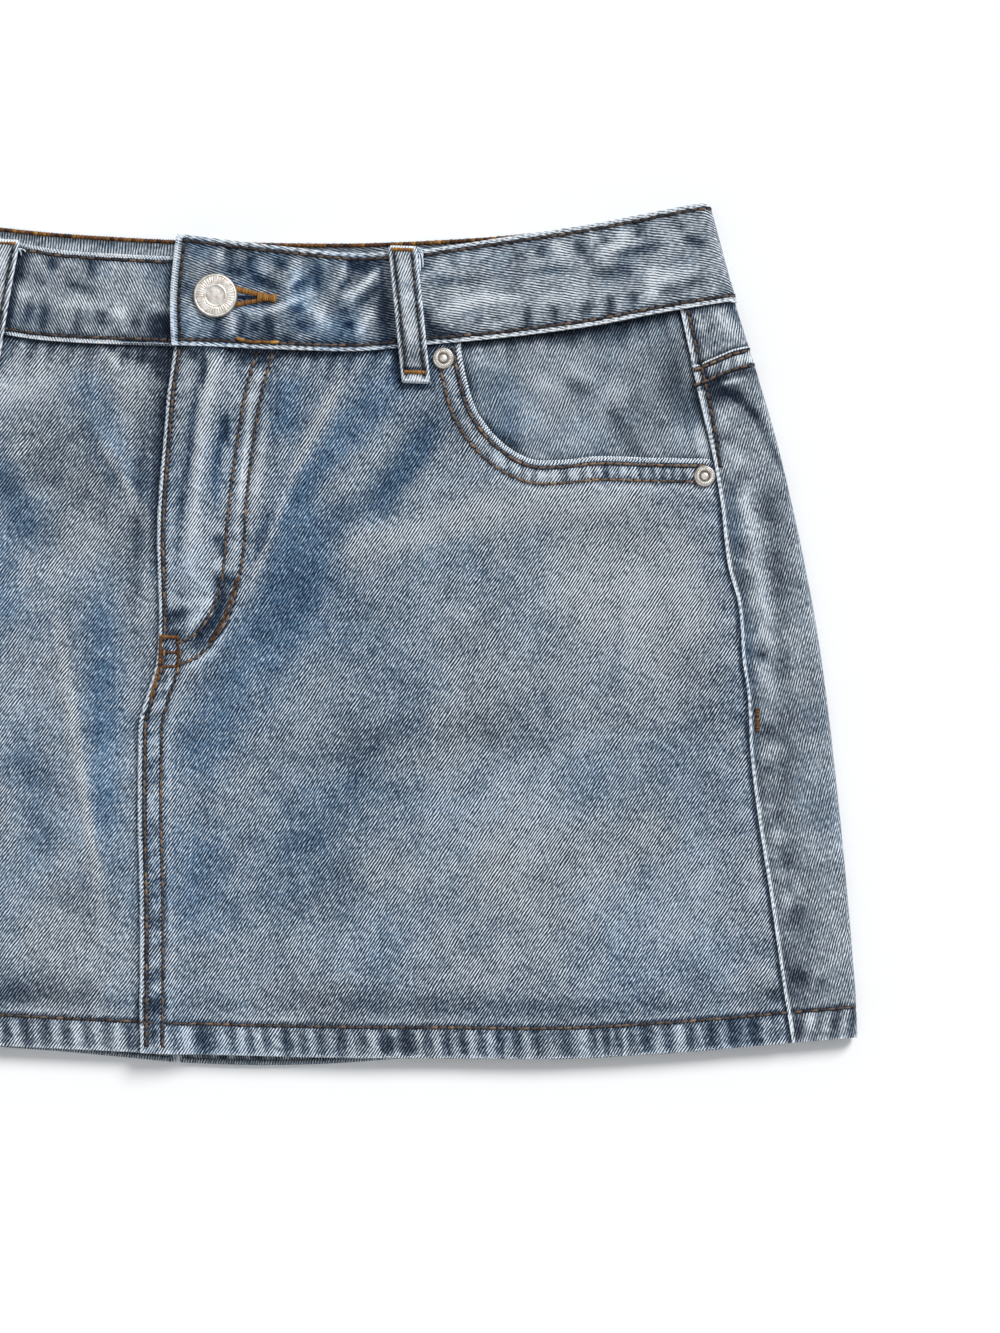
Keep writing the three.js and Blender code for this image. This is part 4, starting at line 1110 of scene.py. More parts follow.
def make_rolled(side, name, top, bottom, rows, lean):
    """A back or a yoke, from the side seam on the front round to the centre back."""
    near = (*EDGE_ROWS, *np.arange(6, 36, 1.3))
    columns = spread(500, 2.6, near, EDGE_ROWS[::-1])
    inner = lambda d: side_seam(d) + SEAM_GAP / 2
    upper = lambda x, behind: top(side * x, behind)
    lower = lambda x, behind: bottom(side * x, behind)
    u, down = patch(columns, rows, inner, centre_back, upper, lower)
    height, light, blue = back_marks(side, u, down)
    points = rolled(side, u, down, height, front_height, back_height)[0]
    places = twill(side * u, -down, lean)
    return cloth_sheet(name, points, places, light, blue, side < 0, back_denim, CLOTH - 0.1)


def on_back(side, u, down, lift=0.0):
    """Points on a rolled back's outer face and the normals there."""
    height = back_marks(side, u, down)[0]
    return rolled(side, u, down, height + lift, front_height, back_height)


def back_cord(side, line, lean, wide, high, light, lift):
    """A turned edge of a back, or a channel's painted shade on a flat dark strip."""
    points, normals = on_back(side, line[:, 0], line[:, 1], lift)
    return cord_piece(points, normals, wide, high, 8, light, -0.2, lean, back_denim)


back_denim = washed_denim("back denim", GREY_TONES, BLUE_TONES, 0.3, 1.1)
BACK_LEAN, YOKE_LEAN = 76, 84  # degrees
for side, hand in HANDS:
    yoke_low = lambda x, behind: yoke_seam(x, behind) - SEAM_GAP
    yoke_rows = spread(30, FRONT_STEP, EDGE_ROWS, EDGE_ROWS[::-1])
    yoke = make_rolled(side, f"denim_yoke_{hand}", band_seam, yoke_low, yoke_rows, YOKE_LEAN)
    back_rows = spread(270, 1.9, EDGE_ROWS, HEM_ROWS)
    back = make_rolled(side, f"denim_back_{hand}", yoke_seam, hem_line, back_rows, BACK_LEAN)
    side_line = lambda d: np.stack([side_seam(d) + 0.9, d], 1)
    yoke_down = np.arange(band_lower_front(198) + 1, yoke_seam(205, False), LINE_STEP)
    rest_down = np.arange(yoke_seam(205, False), 306, LINE_STEP)
    yoke_side_row = side_line(yoke_down) + [2.2, 0]
    turn_u = np.arange(side_seam(38) + 1, centre_back(45) - 1, LINE_STEP)
    turn_x, turn_angle = plan_x(turn_u, 50)
    lap_down = yoke_seam(turn_x, turn_angle < 0)
    hem_u = np.arange(side_seam(306) + 1, centre_back(310) - 1, LINE_STEP)
    hem_x, hem_angle = plan_x(hem_u, 306)
    hem_down = hem_line(side * hem_x, hem_angle < 0)
    hip_down = rest_down[rest_down < 80]
    centre_down = np.arange(80, 321, LINE_STEP)
    rows = [  # each with its stitches' tone
        (np.stack([turn_u, lap_down + 1.9], 1), 0.5),
        (np.stack([turn_u, lap_down + 8], 1), 0.5),
        (np.stack([hem_u, hem_down - HEM_DEPTH], 1), 0.4),
        (np.stack([side_seam(hip_down) + hip_row_at(hip_down), hip_down], 1), 0.3),
    ]
    if side > 0:
        rows += [(np.stack([centre_back(centre_down) - off, centre_down], 1), 0.5) for off in (2.2, 8.6)]
    join_to(yoke, [
        back_cord(side, side_line(yoke_down), YOKE_LEAN, 0.75, 0.75, 0.85, -0.7),
        back_cord(side, yoke_side_row, YOKE_LEAN, *CHANNEL, -1.3, 0.02),
    ])
    join_to(back, [
        back_cord(side, side_line(rest_down), BACK_LEAN, 0.95, 0.95, 1, -0.85),
        back_cord(side, np.stack([turn_u, lap_down + 0.6], 1), BACK_LEAN, 0.75, 0.75, 0.9, -0.65),
        back_cord(side, np.stack([hem_u, hem_down - 1.1], 1), BACK_LEAN, 1.1, 1.1, 0.1, -1.1),
        *[back_cord(side, row, BACK_LEAN, *CHANNEL, -1.3, 0.02) for row, tone in rows],
    ])
    for piece, node, flat, area in (
        (yoke, f"back_yoke_{hand}", (0.31, 0.047), 0.009), (back, f"back_{hand}", (0.31, 0.29), 0.078),
    ):
        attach(piece, "root")
        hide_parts(node)
    rows.append((yoke_side_row, 0.45))
    sew(f"topstitching_back_{hand}", [row_of(on_back(side, *row.T), tone=tone) for row, tone in rows])
    hip_face = lambda x, down: on_back(side, np.abs(x), down)[0][..., 2]
    hip_tack = bar(hip_face, (side * 228, 175.6), (side * 228.4, 184.6), 1.7, 0.42, 0.42, 0.2)
    sew(f"hip_bar_tack_{hand}", [hip_tack], tack_thread)

# The waistband: a doubled strip of crosswise denim with a seam at the centre back, its overlapping
# end on the button side, stitched once along every edge. The back half's inside shows above the front.
BAND_CLOTH, BAND_FLOOR, BAND_FOLD, BAND_PROUD = 2.4, 1.5, 3.9, 0.8
BAND_TOP = BAND_FLOOR + 2 * BAND_FOLD
BAND_STITCH = 2.3
band_upper_front = curve(
    (0, 3.4), (30, 3.2), (60, 2), (90, -3.2), (120, -8.8), (155, -15.4), (180, -21.2), (201, -26),
)
band_upper_back = curve(
    (0, -4), (30, -4.4), (60, -5.3), (90, -7.4), (120, -10.4), (155, -15.6), (180, -21.2), (201, -26),
)
# Crease lines and painted shade of the band, with the columns of the fronts' table: the lightness paints the
# crease lines lit and shaded, and the loops' shadows
band_creases = [
    # The overlapping end, drawn up by the button
    (7, 0, 8, 6, 2, 0.3, 0.7, 0),
    (11.3, -1, 11.6, 6, 2.2, -0.4, -0.9, 0.4),
    (10, 8.4, 17, 9, 1.8, -0.3, -1, 0.4),
    (19.4, 1.5, 19.8, 9, 2, -0.4, -0.9, 0.4),
    (25, 4, 25.5, 10, 3, 0.3, 0.4, 0),
    (29.5, 3, 33, 7, 1.8, -0.2, -0.8, 0.5),
    (38, 3, 38.4, 10, 2.6, 0.3, 0.55, 0),
    (21, 10.6, 31, 15, 2.2, -0.5, -1, 0.5),
    (14.5, 22, 32, 19.7, 1.4, -0.4, -1.1, 0.3),
    (16, 23.6, 26, 25.4, 2.2, 0.5, 0.7, 0),
    (26, 25, 40, 19, 1.8, 0.5, 0.9, 0),
    (34.5, 14.4, 39.8, 10, 1.3, 0.5, 0.9, 0),
    (36.5, 15, 42, 11, 1.5, -0.4, -0.8, 0.5),
    (36, 23.4, 41, 22, 1.8, -0.4, -0.8, 0.5),
    (46.2, 4, 47, 15, 2, -0.4, -0.8, 0.6),
    (49, 2, 49.4, 6, 1.8, 0.2, 0.4, 0),
    (57.4, 4, 57, 9, 1.3, 0.4, 0.8, 0),
    (57.2, 9, 51.6, 15, 1.3, 0.4, 0.8, 0),
    (59, 9, 55, 14, 1.4, -0.4, -0.7, 0.5),
    (58, 4.5, 69, 5.5, 3.2, -0.4, -1, 0.5),
    (70.4, 6, 64, 13.4, 1.5, 0.5, 1.2, -0.2),
    (64, 13.4, 57, 18, 2, 0.5, 0.9, 0),
    (70, 12, 63, 20, 1.8, -0.4, -0.8, 0.4),
    (42, 15, 45, 18, 3, 0.3, 0.5, 0),
    (42.5, 21, 54, 31, 2.8, 0.4, 0.6, 0),
    (49, 21, 46, 33, 2, 0.3, 0.4, 0),
    (39, 27.6, 43, 31, 2.6, -0.3, -0.7, 0.5),
    (59, 27, 60, 29.6, 1.9, -0.4, -1.1, 0.4),
    (57, 22, 58, 24, 1.8, -0.2, -0.7, 0.4),
    (63.6, 33, 68.6, 22, 2, 0.4, 0.8, 0),
    (62, 24, 64.6, 32, 1.5, 0.2, 0.4, 0),
    (27.4, 25.5, 28.6, 35, 2.2, -0.5, -1.2, 0.3),
    (22, 29, 22.6, 33, 1.8, -0.2, -0.8, 0.4),
    (13, 25, 13.4, 34, 1.8, 0.4, 0.8, 0),
    (17.8, 25, 16.6, 34, 1.3, -0.2, -0.8, 0.3),
    (7.4, 26, 7, 35, 1.8, -0.4, -0.8, 0.3),
    (-2, 22, -1, 33, 3, 0.2, 0.5, 0),
    (-5, 14, -5.4, 18, 1.8, -0.2, -0.7, 0.2),
    (34, 33, 36, 37, 1.8, -0.2, -0.7, 0.2),
    # Beside the loop, with the loop's painted shadow, and on to the side
    (71.6, 2, 73, 18, 1.6, -0.2, -0.9, 0.4),
    (73, 16, 75, 40, 3, -0.4, -1.4, 0.4),
    (87.6, 1, 88.4, 6, 2.2, -0.3, -0.8, 0.2),
    (89.6, 20, 92, 34, 2, -0.3, -1.1, 0.2),
    (91, 28, 102, 32.4, 3, -0.3, -1.2, 0.1),
    (94, 1, 98, 6, 4, 0.2, 0.3, 0),
    (92, 9.6, 112, 8.4, 1.8, -0.2, -0.5, 0.2),
    (96, 23, 112, 15.6, 2.6, 0.4, 0.5, -0.2),
    (110, 17, 128, 15, 2.4, 0.4, 0.6, -0.2),
    (100.4, 1, 101, 4, 1.8, 0, -0.5, 0),
    (113, 0, 114, 2, 2, 0, -0.4, 0),
    (123, 11, 124.6, 14, 1.8, 0, -0.4, 0),
    (111, 23, 112, 26, 1.8, -0.2, -0.5, 0),
    (119, 22, 119.6, 25, 1.8, -0.2, -0.5, 0),
    (130.4, 19, 131, 28, 1.7, -0.3, -1, 0),
    (141, 18.5, 142, 25, 1.7, -0.3, -1, 0),
    (134, 16, 148, 14, 3, 0.2, 0.5, 0),
    (151, 20.6, 156, 16.4, 1.9, -0.3, -0.8, 0),
    (163, 13, 163.8, 20, 1.7, -0.4, -1.2, 0),
    (172, 11, 173, 16, 1.8, -0.3, -0.8, 0),
    (184, 10.6, 192, 8.6, 1.8, -0.2, -0.6, 0),
    (193, 8, 200, 4.8, 1.8, -0.2, -0.7, 0),
    (180, 0, 180, 13, 3.2, 0.2, 0.6, -0.1),
    (184, 5, 198, 0, 2.6, 0.2, 0.5, 0),
    (157, 4, 171, 2, 2.6, -0.3, -0.75, 0.2),
    (132, 4.4, 150, 2.6, 1.8, -0.2, -0.5, 0.2),
    (165, -3.4, 182, -7.6, 2, -0.4, -0.9, 0.2),
    (158, -3, 171, -9.4, 2.2, 0.3, 0.5, 0),
    (166, -12, 169, -11, 3, 0.2, 0.5, 0),
    (173, -16.6, 174.4, -11, 1.8, -0.4, -1, 0),
    (190, -18, 190.6, -14, 1.9, -0.3, -0.8, 0),
    (192, -11.4, 200, -8.6, 2, -0.3, -0.9, 0.2),
    (148.4, -8, 152, -4, 2.2, -0.4, -1.1, 0.1),
    (152, -4, 156, 1, 2, -0.2, -0.6, 0.1),
    (160.4, -10, 161, -7.6, 1.6, -0.2, -0.7, 0),
    (135, -6, 135.4, -1.4, 1.9, -0.3, -0.9, 0),
    (126, -4, 127, 0, 1.8, -0.1, -0.5, 0),
    (142, -8, 143, -1, 2.4, 0.2, 0.5, 0),
    (154, -12, 156, -8, 2, 0.2, 0.6, 0),
    (129, 9, 134, 9, 3, 0.1, 0.3, 0),
]
# Its lightness paints the shadows of the overlapping end and of the loop beside it
under_creases = [  # the other end, under the overlap
    (-15, 27, -15, 40, 4.6, -0.3, -2, 0),
    (-13, 6, -13, 24, 2.6, 0, -0.5, 0.2),
    (-31, 39, -20, 38, 1.6, -0.3, -1.2, 0),
    (-40, 4, -22, 8, 4, 0.2, 0.5, 0),
    (-60, 6, -59, 10, 2.2, -0.3, -1, 0.3),
    (-44, 4, -43.6, 13, 1.8, -0.2, -0.8, 0.2),
    (-54, 15.6, -43, 18, 1.8, -0.2, -0.8, 0.2),
    (-66, 14, -62, 16, 1.8, 0, -0.5, 0.1),
    (-69.6, 32, -67.6, 24, 1.8, -0.3, -0.9, 0.3),
    (-62, 24, -62.4, 34, 1.8, -0.3, -0.9, 0.3),
    (-48.6, 25, -48.4, 35, 1.6, -0.3, -0.7, 0.1),
    (-39.4, 26, -39, 33, 2.1, -0.3, -0.8, 0.1),
    (-27, 30, -24, 31, 2.2, -0.3, -0.9, 0),
    (-25, 24, -23, 25, 1.6, 0, -0.5, 0),
    (-35, 26, -30, 27, 2.6, 0.3, 0.8, 0),
    (-58, 24, -38, 24, 2.4, 0.2, 0.5, 0),
    (-72, 19, -70, 22, 2, 0.2, 0.6, 0),
    (-73.4, 2, -74.6, 15, 3.4, -0.4, -2.2, 0.3),
    (-75.6, 16, -78.4, 40, 2.2, -0.4, -2, 0.3),
    (-92, 2, -95, 36, 3, -0.2, -0.8, 0.3),
    (-120, 10, -98, 22, 3, 0.3, 0.5, 0),
    (-134, 19, -134.6, 27, 1.8, -0.3, -0.8, 0),
    (-146, 17, -147, 23, 1.8, -0.3, -0.7, 0),
    (-160, 14, -160.6, 20, 1.8, -0.3, -0.9, 0),
    (-150, -6, -153, -1, 2.2, -0.3, -0.8, 0),
    (-176, -14, -178, -9, 2, -0.3, -0.8, 0),
    (-184, -4, -164, -2, 2, -0.3, -0.8, 0),
    (-186, 6, -172, 8, 3, 0.2, 0.4, 0),
]


def band_top(side):
    """The band's upper edge: on the overlap it stands higher than the end under it."""

    def upper(x, behind):
        rise = 7.9 * np.clip(1 - x / 88, 0, 1.2) if side > 0 else 0
        return np.where(behind, band_upper_back(np.abs(x)), band_upper_front(np.abs(x)) - rise)

    return upper


def band_bottom(x, behind):
    """The band's lower edge."""
    return np.where(behind, band_lower_back(np.abs(x)), band_lower_front(np.abs(x)))


# The edge of the overlapping end, which bulges past the front under it
band_end = curve((-6, -10), (0, -10.6), (8, -11.3), (18, -11.8), (28, -11.5), (40, -10.5))


def band_face(side):
    """The band's outer faces, over the front and under the back, as heights over the plan."""
    lift = lambda x: (BAND_CLOTH + SEAM_GAP) * (1 - ease(34, 64, x)) if side > 0 else 0 * x
    return (lambda x, down: BAND_TOP + lift(x) + 0 * down), (lambda x, down: BAND_FLOOR + 0 * x + 0 * down)


def band_marks(side, u, down):
    """The relief, lightness and blue of the rolled band's outer face, with worn edges and painted shade along
    its rows.
    """
    x, angle = plan_x(u, down, BAND_FOLD, BAND_PROUD)
    behind = angle < 0
    high = down - band_top(side)(x, behind)
    low = band_bottom(x, behind) - down
    height, light, blue = place_marks(band_creases if side > 0 else under_creases, side * u, down)
    pull = puckers(u + 0.5 * high, 111 + side, 5)
    near = np.maximum(1 - ease(3, 10, high), 1 - ease(3, 12, low))
    # Worn light edges, with painted shade along the rows just inside them, and gathers painted lit and shaded
    light = light + 0.95 * (band(0, high, 1.3) + band(0, low, 1.3))
    light = light - 0.45 * (band(3.2, high, 1) + band(3.2, low, 1))
    light = light + (0.25 * pull - 0.05) * near * ease(2.4, 4, np.minimum(high, low))
    height = height + 0.1 * pull * near - 0.15 * (band(BAND_STITCH, high, 1) + band(BAND_STITCH, low, 1))
    if side > 0:
        # The overlapping end worn light, with painted shade along its row
        end = x - band_end(down)
        light = light + 1.1 * band(0.6, end, 1.7) - 0.5 * band(3.8, end, 0.9)
        height = height - 0.2 * band(3.5, end, 0.9)
    cloud = 0.12 * hills(u, down, 18, 115 + side) + 0.18 * hills(u, down, 6, 117 + side)
    cloud = cloud + 0.1 * hills(u, down, 3, 116)
    height = height + 0.12 * hills(u, down, 10, 118 + side)
    height = np.where(angle < pi / 2, np.minimum(height, 0), height)
    light = light + 0.25 * behind
    overlap = (1 - ease(60, 84, u)) * (side > 0)
    blue = blue + (0.25 + 0.2 * overlap) * hills(u, down, 10, 119 + side) - 0.2 + 0.3 * overlap
    return height, light + cloud + (0.17 if side > 0 else 0.08) - 0.32 * overlap, blue


BAND_GREYS = ("#081122", "#323d49", "#646e78", "#9aa3ac", "#e2e7ec")
band_denim = washed_denim("waistband denim", BAND_GREYS, BLUE_TONES, 0.33, 1)
BAND_LEAN = {1: -16.5, -1: -62}  # degrees, the twill on the wearer's left and right


def on_band(side, u, down, lift=0.0):
    """Points on the band's outer face and the normals there."""
    height = band_marks(side, u, down)[0]
    return rolled(side, u, down, height + lift, *band_face(side), BAND_FOLD, BAND_PROUD)


def band_cord(side, u, down, wide, high, light, lift):
    """A turned edge of the band, or a channel's painted shade on a flat dark strip."""
    points, normals = on_band(side, u, down, lift)
    return cord_piece(points, normals, wide, high, 8, light, -0.2, BAND_LEAN[side], band_denim)


halves, band_rows = [], []
for side in (1, -1):
    inner = band_end if side > 0 else (lambda d: -30 + 0 * d)
    outer = lambda d: centre_back(d, BAND_FOLD, BAND_PROUD)
    columns = spread(430, 1.45, EDGE_ROWS, EDGE_ROWS[::-1])
    rows = spread(40, 1.3, EDGE_ROWS[:-1], EDGE_ROWS[-2::-1])
    u, down = patch(columns, rows, inner, outer, band_top(side), band_bottom, BAND_FOLD, BAND_PROUD)
    height, light, blue = band_marks(side, u, down)
    points = rolled(side, u, down, height, *band_face(side), BAND_FOLD, BAND_PROUD)[0]
    x, angle = plan_x(u, down, BAND_FOLD, BAND_PROUD)
    level = (band_top(side)(x, angle < 0) + band_bottom(x, angle < 0)) / 2 - down
    places = twill(side * np.where(angle < 0, -u, u), level, BAND_LEAN[side])
    thick = BAND_CLOTH - 0.2
    half = cloth_sheet("denim_waistband", points, places, light, blue, side < 0, band_denim, thick)
    halves.append(half)
    for top_edge in (True, False):
        start = band_end(-4 if top_edge else 38) + 0.9 if side > 0 else -29
        edge_u = np.arange(start, centre_back(-10, BAND_FOLD, BAND_PROUD) - 1, LINE_STEP)
        edge_down = np.full(len(edge_u), 10.0)
        for _ in range(8):
            x, angle = plan_x(edge_u, edge_down, BAND_FOLD, BAND_PROUD)
            edge_down = (band_top(side) if top_edge else band_bottom)(x, angle < 0)
        into = 1 if top_edge else -1
        wander = 0.7 + 0.45 * puckers(edge_u, 121 + top_edge, 3)
        halves.append(band_cord(side, edge_u, edge_down + 0.8 * into, 0.9, 0.9, wander, -0.85))
        row = edge_down + BAND_STITCH * into
        keep = edge_u > (band_end(20) + 3.5 if side > 0 else -28)
        halves.append(band_cord(side, edge_u[keep], row[keep], *CHANNEL, -1.6, 0.02))
        band_rows.append((side, edge_u[keep], row[keep]))
    if side > 0:
        end_down = np.arange(-4, 38.4, LINE_STEP)
        wander = 0.9 + 0.3 * puckers(end_down, 125, 5)
        halves.append(band_cord(1, band_end(end_down) + 1.1, end_down, 1.35, 1.2, wander + 0.6, -1.15))
        end_down = end_down[2:-1]
        halves.append(band_cord(1, band_end(end_down) + 3.5, end_down, 1.1, 0.07, -1.7, 0.02))
        end_row = (1, band_end(end_down) + 3.5, end_down)
# The slit of the buttonhole, a flat strip painted with the shade inside it, and the frayed yarns beside the
# loops
slit_x = np.arange(14, 24, 1.0)
halves.append(band_cord(1, slit_x, 18.9 + 0.02 * (slit_x - 14), 0.75, 0.08, -2.2, 0.03))
for side, x, down, run, drop in (
    (1, 85.4, -3.4, 2.6, 3.6), (1, 85.8, -2.6, 2.4, 7), (1, 86, -1.6, 1.2, 8), (1, 85.6, -3, 3.6, 1.6),
    (1, 86.2, 0.6, 0.8, 6), (-1, 74.6, 2, -2.6, 3.2), (-1, 74, 2.4, -3.6, 1.4), (-1, 75, 3, -1.2, 3),
):
    share = np.linspace(0, 1, 8)
    yarn_x = side * (x + run * np.sin(1.7 * share))
    yarn_down = down + drop * share**1.6
    lift = 0.35 + 0.9 * np.sin(pi * share)
    yarn = np.stack([yarn_x, MID_DOWN - yarn_down, BAND_TOP + lift], 1)
    upward = np.tile([0.0, 0.0, 1.0], (8, 1))
    halves.append(cord_piece(yarn, upward, 0.28, 0.28, 6, 1.4, 0.2, BAND_LEAN[side], band_denim))
waistband = halves[0]
join_to(waistband, halves[1:])
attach(waistband, "root")
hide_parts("waistband")
overlap_face = lambda x, down: on_band(1, x, down)[0][..., 2]
band_bars = [
    bar(overlap_face, (13.4, 15.7), (27, 18.3), 2.3, 0.66, 0.42),
    bar(overlap_face, (13.6, 22.2), (24.5, 19.8), 2, 0.5, 0.42),
    bar(overlap_face, (23, 18.6), (30.4, 19.2), 3.6, 0.74, 0.4, 0.5),
]
over_row = np.array([(15, 35.2), (18.4, 36.4), (21.8, 36.7), (25.2, 36.5), (28.6, 36.5), (32, 36.4)])
golden = row_of(over(overlap_face, *over_row.T, 0.2), tone=0.72, pitch=3.4, thick=1.3, cover=1.1)
rows = [row_of(on_band(*row), tone=0.3) for row in band_rows]
sew("topstitching_waistband", [*rows, row_of(on_band(*end_row), tone=0.1, thick=1.4)])
sew("buttonhole", [*band_bars, golden], tack_thread)

# The chain stitch: where the band's needle row shows inside the back, it is a thick chain of golden
# thread worn dark, along the upper edge, with its loops close together.
chain_x = np.arange(-196, 197, LINE_STEP)
chain_down = band_upper_back(np.abs(chain_x)) + 1.1
chain = np.stack([chain_x, MID_DOWN - chain_down, np.full(len(chain_x), BAND_FLOOR + BAND_CLOTH + 0.1)], 1)
upward = np.tile([0.0, 0.0, 1.0], (len(chain), 1))
chain_row = row_of((chain, upward), tone=0.34, fade=0.22, pitch=1.7, thick=1.7, cover=1.25)
sew("chain_stitch", [chain_row], tack_thread)

# The belt loops: narrow strips folded under and stitched along both edges, tacked with orange bars
# at their ends. Two stand off the front waistband, three lie under the back one.
LOOP_WIDE, LOOP_LONG = 11.2, 54
loop_rise = curve((0, 0.3), (0.08, 0.3), (0.15, 1.2), (0.45, 1.8), (0.78, 1.3), (0.88, 0.3), (1, 0.3))
loop_thick = curve((0, 2.2), (0.08, 2.2), (0.15, 1.3), (0.45, 1.3), (0.78, 1.3), (0.88, 2.2), (1, 2.2))


def front_loop_face(side):
    """A front loop's outer face: it arches off the band between its sewn ends."""
    start, top, slant = (79.9, -3, 7.2) if side > 0 else (78.4, 0, 6.9)

    def face(a, share):
        x = start + slant * share + a
        down = top + (50.2 - top) * share
        seam = band_lower_front(x)
        under = BAND_TOP + (front_height(side * x, down) - BAND_TOP) * ease(seam + 0.5, seam + 5.5, down)
        crown = 0.25 * (1 - (2 * a / LOOP_WIDE) ** 4) - 0.35
        z = under + loop_rise(share) + loop_thick(share) + crown + 0.15 * band(0.25, share, 0.03)
        return np.stack([side * x, MID_DOWN - down, z], -1)

    return face


def back_loop_face(middle, slant):
    """A back loop's face, pressed flat between the band and the floor."""
    top = band_upper_back(abs(middle)) + 1
    bottom = band_lower_back(abs(middle)) + 12.5

    def face(a, share):
        down = top + (bottom - top) * share
        return np.stack([middle + slant * share - a, MID_DOWN - down, 0.35 + 0 * (a + share)], -1)

    return face


loops = [  # the name, which way it faces, its face and its twill's lean
    ("front_left", 1, front_loop_face(1), 68),
    ("front_right", 1, front_loop_face(-1), 68),
    ("back_left", -1, back_loop_face(112, 4), 112),
    ("back_centre", -1, back_loop_face(0, 0), 112),
    ("back_right", -1, back_loop_face(-112, -4), 112),
]
for name, up, face, lean in loops:
    a, share = np.meshgrid(np.linspace(0.3 - LOOP_WIDE / 2, LOOP_WIDE / 2 - 0.3, 17), np.linspace(0, 1, 60))
    points = face(a, share)
    run, off = LOOP_LONG * share, np.abs(a)
    # Painted shade: dark along the two stitch rows, and a dark line just above the lower tack, where the loop
    # bends down to it
    light = 0.35 + 0.25 * band(0, off, 2) + 0.3 * hills(run, a, 4, 132) - band(3.5, off, 0.9)
    light = light + 0.3 * puckers(run, 131, 5) * band(4.6, off, 1.2)
    light = light - 0.35 * ease(0.6, 0.8, share) * band(0, a, 4)
    light = light - 1.6 * band(0.905, share, 0.014) + 0.7 * ease(0.945, 0.96, share)
    places = twill(points[..., 0], points[..., 1], lean)
    flip = (points[0, -1, 0] < points[0, 0, 0]) == (up > 0)
    blue = 0 * a - 0.25
    piece = cloth_sheet(f"belt_loop_{name}_cloth", points, places, light, blue, flip, band_denim, 1.1)
    steps = np.linspace(0, 1, 48)
    normal = np.tile([0.0, 0.0, float(up)], (48, 1))
    extras = []
    for edge in (-1, 1):
        path = face(np.full(48, edge * (LOOP_WIDE / 2 - 0.55)), steps) - [0, 0, 0.6 * up]
        light = 0.85 + 0.3 * puckers(LOOP_LONG * steps, 133 + edge, 4)
        extras.append(cord_piece(path, normal, 0.7, 0.7, 8, light, 0, 68, band_denim))
    for end in (0.006, 0.986):
        path = face(np.linspace(0.5 - LOOP_WIDE / 2, LOOP_WIDE / 2 - 0.5, 12), np.full(12, end))
        extras.append(cord_piece(path - [0, 0, 0.9 * up], normal[:12], 1.2, 1.1, 8, 1.1, 0, 68, band_denim))
    join_to(piece, extras)
    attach(piece, "root")
    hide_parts(f"belt_loop_{name}")
    lines = [(face(np.full(44, edge * 3.5), steps[2:-2]), normal[2:-2]) for edge in (-1, 1)]
    sew(f"loop_stitching_{name}", [row_of(line, tone=0.04, pitch=2.8, thick=0.85) for line in lines])
    tacks = []
    for share, tone, thick in ((0.014, 0.6, 1), (0.926, 0.68, 1.15)):
        zig = np.arange(15)
        path = face(-4.2 + 0.6 * zig, share + 0.012 * np.where(zig % 2, 1, -1))
        tacks.append(row_of((path, normal[:15]), tone=tone, fade=0.12, pitch=1.45, thick=thick, cover=1.1))
    sew(f"loop_tacks_{name}", tacks, tack_thread)

# The shank button: a struck zinc cap, finished by pickling, with a raised rim and a ring of plain reeding
# round a sunk middle. The rivets are small caps of the same finish, each with a burr at its centre. Pale and
# a little warm, and dark in the deep places, partly from the pickling and partly as painted shade.
BUTTON_AT = (6.2, 18.8, 12.3)

metal, metal_tree, metal_surface = new_material("antique silver plate")
metal_surface.inputs["Metallic"].default_value = 0.6
metal_surface.inputs["Roughness"].default_value = 0.42
stain_place = add_node(metal_tree, "ShaderNodeTexCoord").outputs["Object"]
stain = add_node(metal_tree, "ShaderNodeTexNoise", {"Scale": 1 / (1.6 * MM), "Detail": 3}, {0: stain_place})
stained = colour_ramp(metal_tree, stain.outputs["Fac"], ("#cfc3b6", "#fbf8f3"), (0.3, 0.62))
recess = add_node(metal_tree, "ShaderNodeAttribute", {"attribute_name": "recess"}).outputs["Fac"]
pickled = add_node(
    metal_tree, "ShaderNodeMix", {"data_type": "RGBA", 7: linear("#4e433c")}, {0: recess, 6: stained}
)
metal_tree.links.new(pickled.outputs[2], metal_surface.inputs["Base Color"])


def select_faces(piece, chosen):
    """Selects the faces that a test picks, and goes on in edit mode."""
    bpy.ops.object.mode_set(mode="OBJECT")
    for polygon in piece.data.polygons:
        polygon.select = chosen(polygon)
    bpy.ops.object.mode_set(mode="EDIT")


